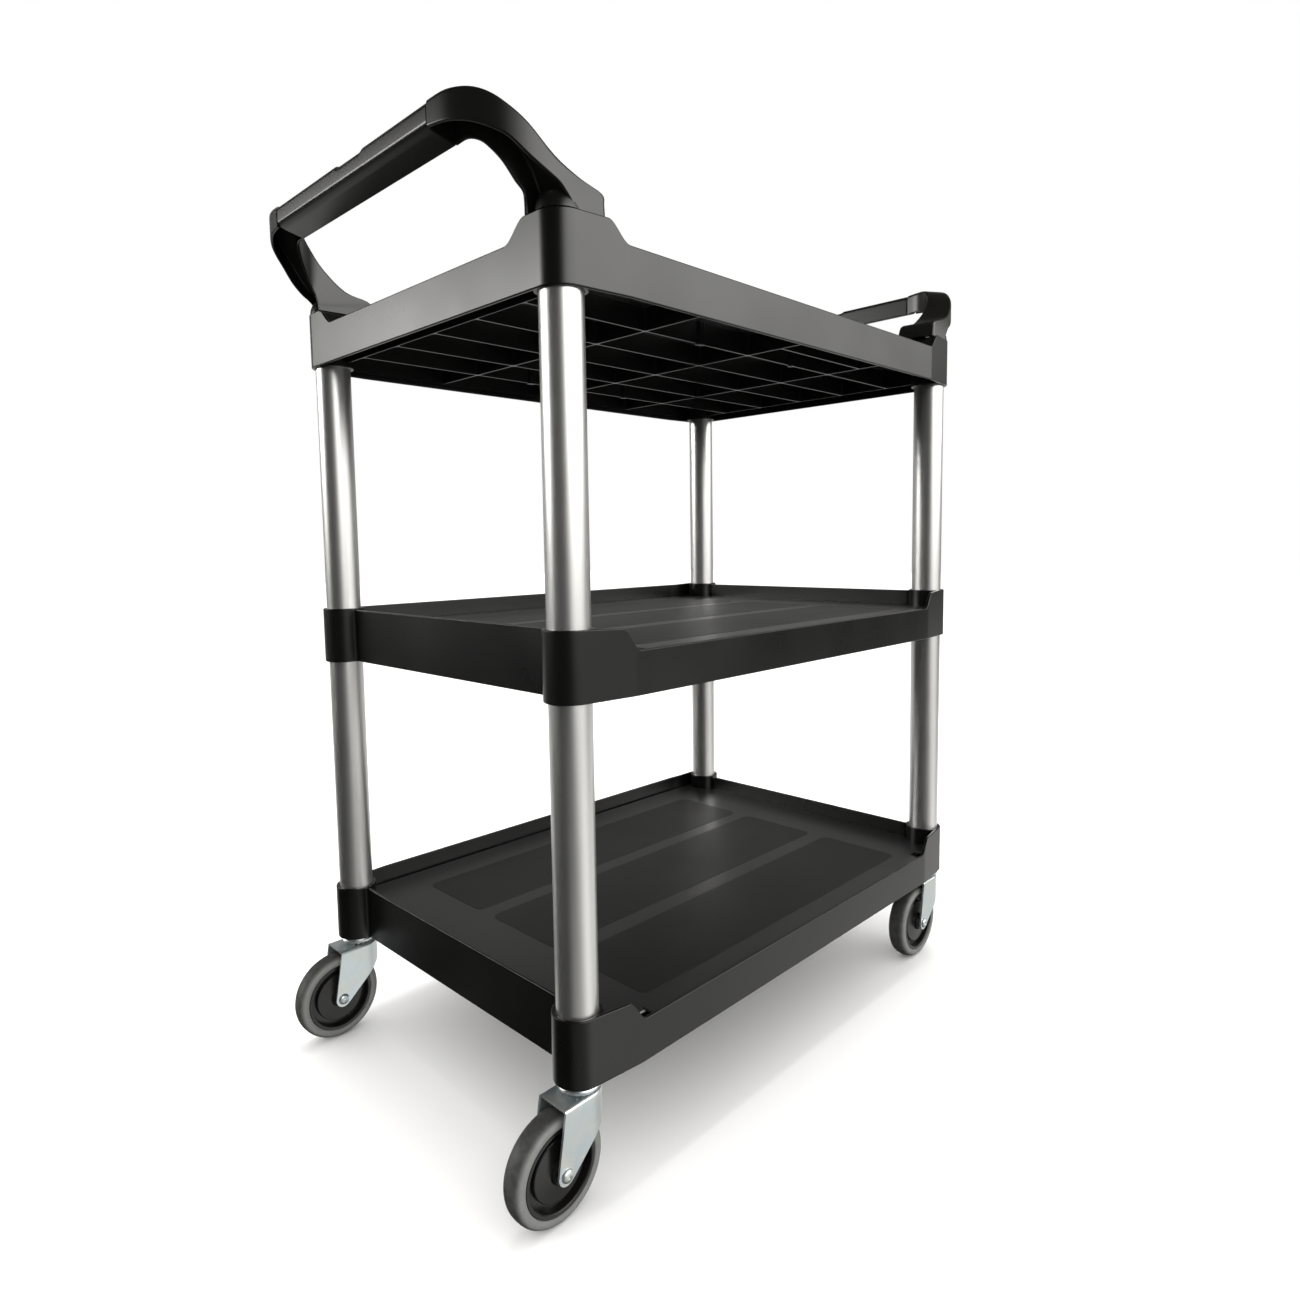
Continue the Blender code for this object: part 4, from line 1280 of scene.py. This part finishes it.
# ---------------------------------------------------------------- casters
@dataclass
class SwivelCaster:
    """One swivel caster: race plates and stem, balls, stamped fork, axle set, hub and tyre."""

    corner: Corner
    crown_back: float = -0.0340
    crown_front: float = 0.0235
    half_width: float = 0.0200
    sheet: float = 0.0025
    crown_bend: float = 0.0035
    leg_end: float = 0.0100
    leg_slant: float = 42.0
    skirt_depth: float = 0.0170
    # radii where the tyre's painted shade and wear fade in towards the running face
    tread_shade_and_wear_span: Point2 = (0.0485, 0.0536)
    leg_softness: float = 0.0035
    fork_edge: float = 0.0005
    nut_radius: float = 0.0072
    nut_depth: float = 0.0044
    nut_gap: float = 0.0002
    hub_half: tuple[Point2, ...] = (
        (0.0068, 0.0150), (0.0105, 0.0150), (0.0115, 0.0140), (0.0125, 0.0105), (0.0280, 0.0088),
        (0.0300, 0.0086), (0.0308, 0.0076), (0.0311, 0.0036), (0.0372, 0.0036), (0.0380, 0.0112),
        (0.0388, 0.0121), (0.0419, 0.0121), (0.0424, 0.0114))
    tyre_half: tuple[Point2, ...] = (
        (0.0426, 0.0116), (0.0432, 0.0124), (0.0445, 0.0129), (0.0460, 0.0130), (0.0475, 0.0128),
        (0.0489, 0.0123), (0.0502, 0.0115), (0.0514, 0.0104), (0.0524, 0.0090), (0.0532, 0.0073),
        (0.0537, 0.0052), (0.0540, 0.0025))
    ball_track: float = 0.0170
    ball_radius: float = 0.0016
    ball_count: int = 18
    race_radius: float = 0.0220

    def __post_init__(self) -> None:
        """Read the levels from the solids and the joints."""
        self.place = Matrix.Translation((*self.corner.post, 0.0))
        axle = self.corner.wheel_axis
        self.trail = self.corner.post[0] - axle.x
        self.axle_z = axle.z
        label = self.corner.label
        self.crown_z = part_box(label + "_caster_fork")[1].z
        ball_low, ball_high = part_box(label + "_swivel_balls")
        self.ball_z = (ball_low.z + ball_high.z) / 2
        self.race_low = 2 * self.ball_z - self.crown_z
        self.race_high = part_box("bottom_shelf")[0].z - 0.0003

    def publish(self, builder: bmesh.types.BMesh, name: str, finish: Finish, node: str, body: str = "caster",
                slot: Slot = Slot.ZINC, sheet: float = 0.0, edge: float = 0.0) -> None:
        """Publish one of the caster's pieces on its corner.

        Args:
            builder: The mesh, made round the swivel axis.
            name: The piece's name without its corner.
            finish: Its finish.
            node: The plain solid it takes the place of, without its corner.
            body: The body it rides on, without its corner.
            sheet: Wall thickness given to an open sheet.
            edge: Size of a fine round on all its edges.
        """
        label = self.corner.label
        rides_on = body if body == "root" else f"{label}_{body}"
        publish(builder, f"{label}_{name}", rides_on, [finish], [f"{label}_{node}"], self.place,
                sheet, edge)

    def race(self) -> None:
        """Build the stem and the pressed upper race."""
        radius, low, high, crown = self.race_radius, self.race_low, self.race_high, self.crown_z
        profile = [(0.0, high + 0.030), (0.0050, high + 0.030), (0.0055, high + 0.0290), (0.0055, high),
                   (radius - 0.0040, high), (radius - 0.0014, high - 0.0010), (radius - 0.0006, high - 0.0026),
                   (radius, high - 0.0034), (radius, low + 0.0008), (radius - 0.0006, low),
                   (radius - 0.0024, low),
                   (radius - 0.0030, low + 0.0016), (0.0120, low + 0.0016), (0.0100, low), (0.0050, low),
                   (0.0050, crown - 0.0034), (0.0078, crown - 0.0036), (0.0078, crown - 0.0052),
                   (0.0062, crown - 0.0062), (0.0, crown - 0.0064)]
        self.publish(turned(profile, 56, closed=False), "race_and_stem", ZINC, "caster_stem", "root")

    def balls(self) -> None:
        """Build the ring of loose balls."""
        builder = bmesh.new()
        for index in range(self.ball_count):
            angle = math.tau * index / self.ball_count
            spot = (self.ball_track * math.cos(angle), self.ball_track * math.sin(angle), self.ball_z)
            bmesh.ops.create_icosphere(builder, subdivisions=2, radius=self.ball_radius,
                                       matrix=Matrix.Translation(spot))
        self.publish(builder, "bearing_balls", ZINC, "swivel_balls")

    def rail(self, inset: float) -> list[Point2]:
        """Plan of the crown's edge from one back corner round the front to the other.

        Args:
            inset: How far inside the sheet's outer face.

        Returns:
            The line's points.
        """
        half, front, straight = self.half_width - inset, self.crown_front - inset, 8
        near = [(self.crown_back * (1.0 - step / straight), -half) for step in range(straight)]
        near += [(front * math.sin(math.radians(angle)), -half * math.cos(math.radians(angle)))
                 for angle in range(0, 91, 6)]
        return near + [(x, -y) for x, y in reversed(near[:-1])]

    def leg_low(self, x: float) -> float:
        """Lower edge of the sheet at a place along the trail: round at the axle, slanted, level in front.

        Args:
            x: The place.

        Returns:
            The edge's height.
        """
        slant = math.radians(self.leg_slant)
        offset = x + self.trail
        tangent = self.leg_end * math.sin(slant)
        if offset < tangent:
            return self.axle_z - math.sqrt(max(0.0, self.leg_end ** 2 - offset ** 2))
        line = self.axle_z - self.leg_end * math.cos(slant) + (offset - tangent) * math.tan(slant)
        ceiling = self.crown_z - self.skirt_depth
        return ceiling - self.leg_softness * math.log(1.0 + math.exp((ceiling - line) / self.leg_softness))

    def leg_high(self, x: float) -> float:
        """Upper edge of the sheet: the crown's bend, or the steep back edge behind the crown.

        Args:
            x: A place along the trail.

        Returns:
            The edge's height.
        """
        wall_top = self.crown_z - self.crown_bend
        back_x = -self.trail - self.leg_end
        if x >= self.crown_back - MERGE:
            return wall_top
        share = (x - back_x) / (self.crown_back - back_x)
        return self.axle_z + (wall_top - self.axle_z) * max(0.0, share)

    def fork(self) -> None:
        """Build the stamped fork: one bent sheet with a round crown, a front skirt and two slanted legs."""
        back_x = -self.trail - self.leg_end
        tail = [back_x + (self.crown_back - back_x) * (1.0 - math.cos(math.radians(90.0 * step / 10)))
                for step in range(10)]
        plan = [(x, -self.half_width) for x in tail] + self.rail(0.0)
        plan += [(x, self.half_width) for x in reversed(tail)]
        rise = [step / 9 for step in range(10)]
        walls = [[Vector((x, y, self.leg_low(x) + (self.leg_high(x) - self.leg_low(x)) * share))
                  for share in rise] for x, y in plan]
        turns = [math.radians(90.0 * step / 5) for step in range(6)]
        wall_top = self.crown_z - self.crown_bend
        rings = [[Vector((x, y, wall_top + self.crown_bend * math.sin(turn)))
                  for x, y in self.rail(self.crown_bend * (1.0 - math.cos(turn)))] for turn in turns]
        builder = bmesh.new()
        add(builder, woven(walls, wrap=False, cap=False))
        add(builder, woven(rings, wrap=False, cap=False))
        builder.faces.new([builder.verts.new(point) for point in rings[-1]])
        bmesh.ops.remove_doubles(builder, verts=builder.verts, dist=2e-5)
        bmesh.ops.recalc_face_normals(builder, faces=builder.faces)
        if max(builder.faces, key=lambda face: face.calc_center_median().z).normal.z < 0.0:
            bmesh.ops.reverse_faces(builder, faces=builder.faces)
        self.publish(builder, "stamped_fork", ZINC, "caster_fork", sheet=self.sheet, edge=self.fork_edge)

    def on_axle(self, body: bmesh.types.BMesh) -> bmesh.types.BMesh:
        """Lay a body made round Z on the axle, its top towards -Y.

        Args:
            body: The body.

        Returns:
            The same body.
        """
        turn = Matrix.Rotation(math.radians(90.0), 4, "X")
        move(body, Matrix.Translation((-self.trail, 0.0, self.axle_z)) @ turn)
        return body

    def axle_set(self) -> None:
        """Build the riveted axle bolt with its dimple, and its nut."""
        face = self.half_width
        head = turned([(0.0, face + 0.0024), (0.0016, face + 0.0024), (0.0022, face + 0.0032),
                       (0.0044, face + 0.0030), (0.0060, face + 0.0020), (0.0068, face + 0.0006),
                       (0.0068, face), (0.0040, face), (0.0040, -face - 0.0052), (0.0036, -face - 0.0058),
                       (0.0, -face - 0.0058)], 40, closed=False)
        self.publish(self.on_axle(head), "axle_rivet", ZINC, "axle_bolt")
        nut = bmesh.new()
        bmesh.ops.create_cone(nut, cap_ends=True, segments=6, radius1=self.nut_radius, radius2=self.nut_radius,
                              depth=self.nut_depth)
        bmesh.ops.translate(nut, vec=(0.0, 0.0, -face - self.nut_depth / 2 - self.nut_gap), verts=nut.verts)
        soften(nut, 0.0005)
        self.publish(self.on_axle(nut), "lock_nut", ZINC, "axle_nut")
        dress(self.corner.label + "_axle_sleeve", ZINC)

    def wheel(self) -> None:
        """Build the moulded hub and the tyre on it, with a mask of painted shade and wear on its running face.
        """
        hub = turned(both_sides(self.hub_half), 96)
        self.publish(self.on_axle(hub), "moulded_hub", HUB_SKIN, "wheel_hub", "wheel", Slot.HUB)
        tyre = turned(both_sides(self.tyre_half), 112)
        # mask of painted shade and wear: 0 on the flanks, 1 on the running face
        tread_shade_and_wear = tyre.verts.layers.float.new(TREAD_SHADE_AND_WEAR)
        flank_to, running_face_from = self.tread_shade_and_wear_span
        for vert in tyre.verts:
            vert[tread_shade_and_wear] = smooth_step((math.hypot(vert.co.x, vert.co.y) - flank_to) / (running_face_from - flank_to))
        self.publish(self.on_axle(tyre), "tyre", RUBBER, "wheel_tread", "wheel", Slot.RUBBER)

    def build(self) -> None:
        """Build the whole caster."""
        self.race()
        self.balls()
        self.fork()
        self.axle_set()
        self.wheel()


# ---------------------------------------------------------------- studio
@dataclass(frozen=True)
class SoftBox:
    """A glow in the studio's reflections: where it stands, how high it reaches and how bright it is."""

    heading: float
    core: float
    reach: float
    low: float
    high: float
    level: float
    softness: float = 0.05


class Surroundings(Recipe):
    """The studio's reflections, written into a world's node tree."""

    def __init__(self, tree: bpy.types.NodeTree) -> None:
        """Start from the direction of a ray.

        Args:
            tree: The world's node tree.
        """
        self.tree = tree
        self.place = self.node("ShaderNodeTexCoord", output="Generated")
        self.height = self.node("ShaderNodeSeparateXYZ", {}, {0: self.place}, output="Z")

    def ease(self, value: Signal, start: float, end: float) -> Signal:
        """Rise smoothly from 0 to 1 between two values."""
        return self.node("ShaderNodeMapRange", {"interpolation_type": "SMOOTHSTEP"},
                         {"Value": value, "From Min": start, "From Max": end, "To Min": 0.0, "To Max": 1.0})

    def glow(self, box: SoftBox) -> Signal:
        """Brightness that one soft box adds along a ray.

        Args:
            box: The soft box.

        Returns:
            The brightness.
        """
        heading = math.radians(box.heading)
        facing = self.node("ShaderNodeVectorMath", {"operation": "DOT_PRODUCT"},
                           {0: self.place, 1: (math.cos(heading), math.sin(heading), 0.0)}, output="Value")
        across = self.ease(facing, math.cos(math.radians(box.reach)), math.cos(math.radians(box.core)))
        rising = self.ease(self.height, box.low - box.softness, box.low + box.softness)
        ending = 1.0 - self.ease(self.height, box.high - box.softness, box.high + box.softness)
        return across * rising * ending * box.level


@dataclass
class Studio:
    """Camera, soft lights and a plain pale floor."""

    camera_place: Point3 = (-0.86773, -0.81626, 0.64231)
    heading: float = 45.0
    pitch: float = 0.0850043
    roll: float = -0.0162701
    lens: float = 23.352
    shift: Point2 = (0.01316, -0.0273)
    boxes: tuple[SoftBox, ...] = (
        SoftBox(-73.0, 26.0, 60.0, 0.11, 0.85, 4.9, 0.07), SoftBox(133.0, 6.0, 24.0, 0.14, 0.80, 16.5),
        SoftBox(45.0, 35.0, 75.0, -0.02, 0.70, 0.32), SoftBox(-45.0, 20.0, 60.0, -0.95, -0.24, 0.8, 0.10),
        SoftBox(-80.0, 20.0, 46.0, -0.95, 0.11, 0.40, 0.04),
        SoftBox(-100.0, 40.0, 75.0, -0.95, -0.42, 0.40, 0.10),
        SoftBox(45.0, 40.0, 80.0, -0.60, -0.08, 0.80, 0.06),
        SoftBox(-135.0, 60.0, 120.0, 0.02, 0.12, 0.12, 0.02))
    ambient: float = 0.020
    daylight: float = 1.50
    tint: tuple[float, float, float, float] = (1.0, 0.992, 0.97, 1.0)
    white: tuple[float, float, float, float] = (1.0, 1.0, 1.0, 1.0)
    floor_half: float = 14.0
    lights: tuple[tuple[str, Point3, Point3, float, float], ...] = (
        ("overhead", (0.0, 0.10, 3.3), (0.0, 0.0, 0.0), 1.2, 85.0),
        ("front_fill", (-2.0, -2.4, 1.6), (0.0, 0.0, 0.4), 1.5, 8.0))

    def camera(self) -> None:
        """Set the camera."""
        data = bpy.data.cameras.new("camera")
        data.lens = self.lens
        data.sensor_width = 36.0
        data.shift_x, data.shift_y = self.shift
        data.clip_start = 0.02
        camera = bpy.data.objects.new("camera", data)
        bpy.context.scene.collection.objects.link(camera)
        yaw = math.radians(self.heading)
        ahead, drop = math.cos(self.pitch), math.sin(self.pitch)
        forward = Vector((math.cos(yaw) * ahead, math.sin(yaw) * ahead, -drop))
        level = Vector((math.sin(yaw), -math.cos(yaw), 0.0))
        above = level.cross(forward)
        right = math.cos(self.roll) * level + math.sin(self.roll) * above
        up = -math.sin(self.roll) * level + math.cos(self.roll) * above
        axes = Matrix((right, up, -forward)).transposed().to_4x4()
        camera.matrix_world = Matrix.Translation(self.camera_place) @ axes
        bpy.context.scene.camera = camera

    def floor(self) -> None:
        """Lay the floor."""
        builder = bmesh.new()
        bmesh.ops.create_grid(builder, x_segments=2, y_segments=2, size=self.floor_half)
        mesh = bpy.data.meshes.new("floor")
        builder.to_mesh(mesh)
        builder.free()
        mesh.materials.append(material_of(StudioFloor()))
        floor = bpy.data.objects.new("floor", mesh)
        bpy.context.scene.collection.objects.link(floor)
        floor.visible_glossy = False

    def light(self) -> None:
        """Hang the lights and set the pale surroundings."""
        for name, place, target, size, power in self.lights:
            data = bpy.data.lights.new(name, "AREA")
            data.shape = "DISK"
            data.size = size
            data.energy = power
            lamp = bpy.data.objects.new(name, data)
            bpy.context.scene.collection.objects.link(lamp)
            lamp.visible_glossy = False
            lamp.location = place
            lamp.rotation_euler = (Vector(target) - Vector(place)).to_track_quat("-Z", "Y").to_euler()
        world = bpy.data.worlds.new("surroundings")
        world.use_nodes = True
        tree = world.node_tree
        seen = tree.nodes["Background"]
        seen.inputs["Color"].default_value = self.white
        room = Surroundings(tree)
        reflected = room.glow(self.boxes[0]) + self.ambient
        for box in self.boxes[1:]:
            reflected = reflected + room.glow(box)
        ray = tree.nodes.new("ShaderNodeLightPath")
        glossy = Signal(room, ray.outputs["Is Glossy Ray"])
        strength = self.daylight + glossy * (reflected - self.daylight)
        lit = tree.nodes.new("ShaderNodeBackground")
        lit.inputs["Color"].default_value = self.tint
        tree.links.new(strength.socket, lit.inputs["Strength"])
        mix = tree.nodes.new("ShaderNodeMixShader")
        tree.links.new(ray.outputs["Is Camera Ray"], mix.inputs["Fac"])
        tree.links.new(lit.outputs[0], mix.inputs[1])
        tree.links.new(seen.outputs[0], mix.inputs[2])
        tree.links.new(mix.outputs[0], tree.nodes["World Output"].inputs["Surface"])
        bpy.context.scene.world = world
        bpy.context.scene.view_settings.view_transform = "Standard"

    def build(self) -> None:
        """Set the whole studio."""
        self.camera()
        self.floor()
        self.light()


def main() -> None:
    """Build the studio and every sub-assembly, in order."""
    logging.basicConfig(level=logging.INFO, format="%(message)s")
    Studio().build()
    OpenTray("bottom_shelf", "bottom_tray").build()
    OpenTray("middle_shelf", "middle_tray").build()
    TopTray("top_shelf", "top_tray").build()
    Uprights().build()
    PushHandles().build()
    for corner in Corner:
        SwivelCaster(corner).build()


if __name__ == "__main__":
    main()
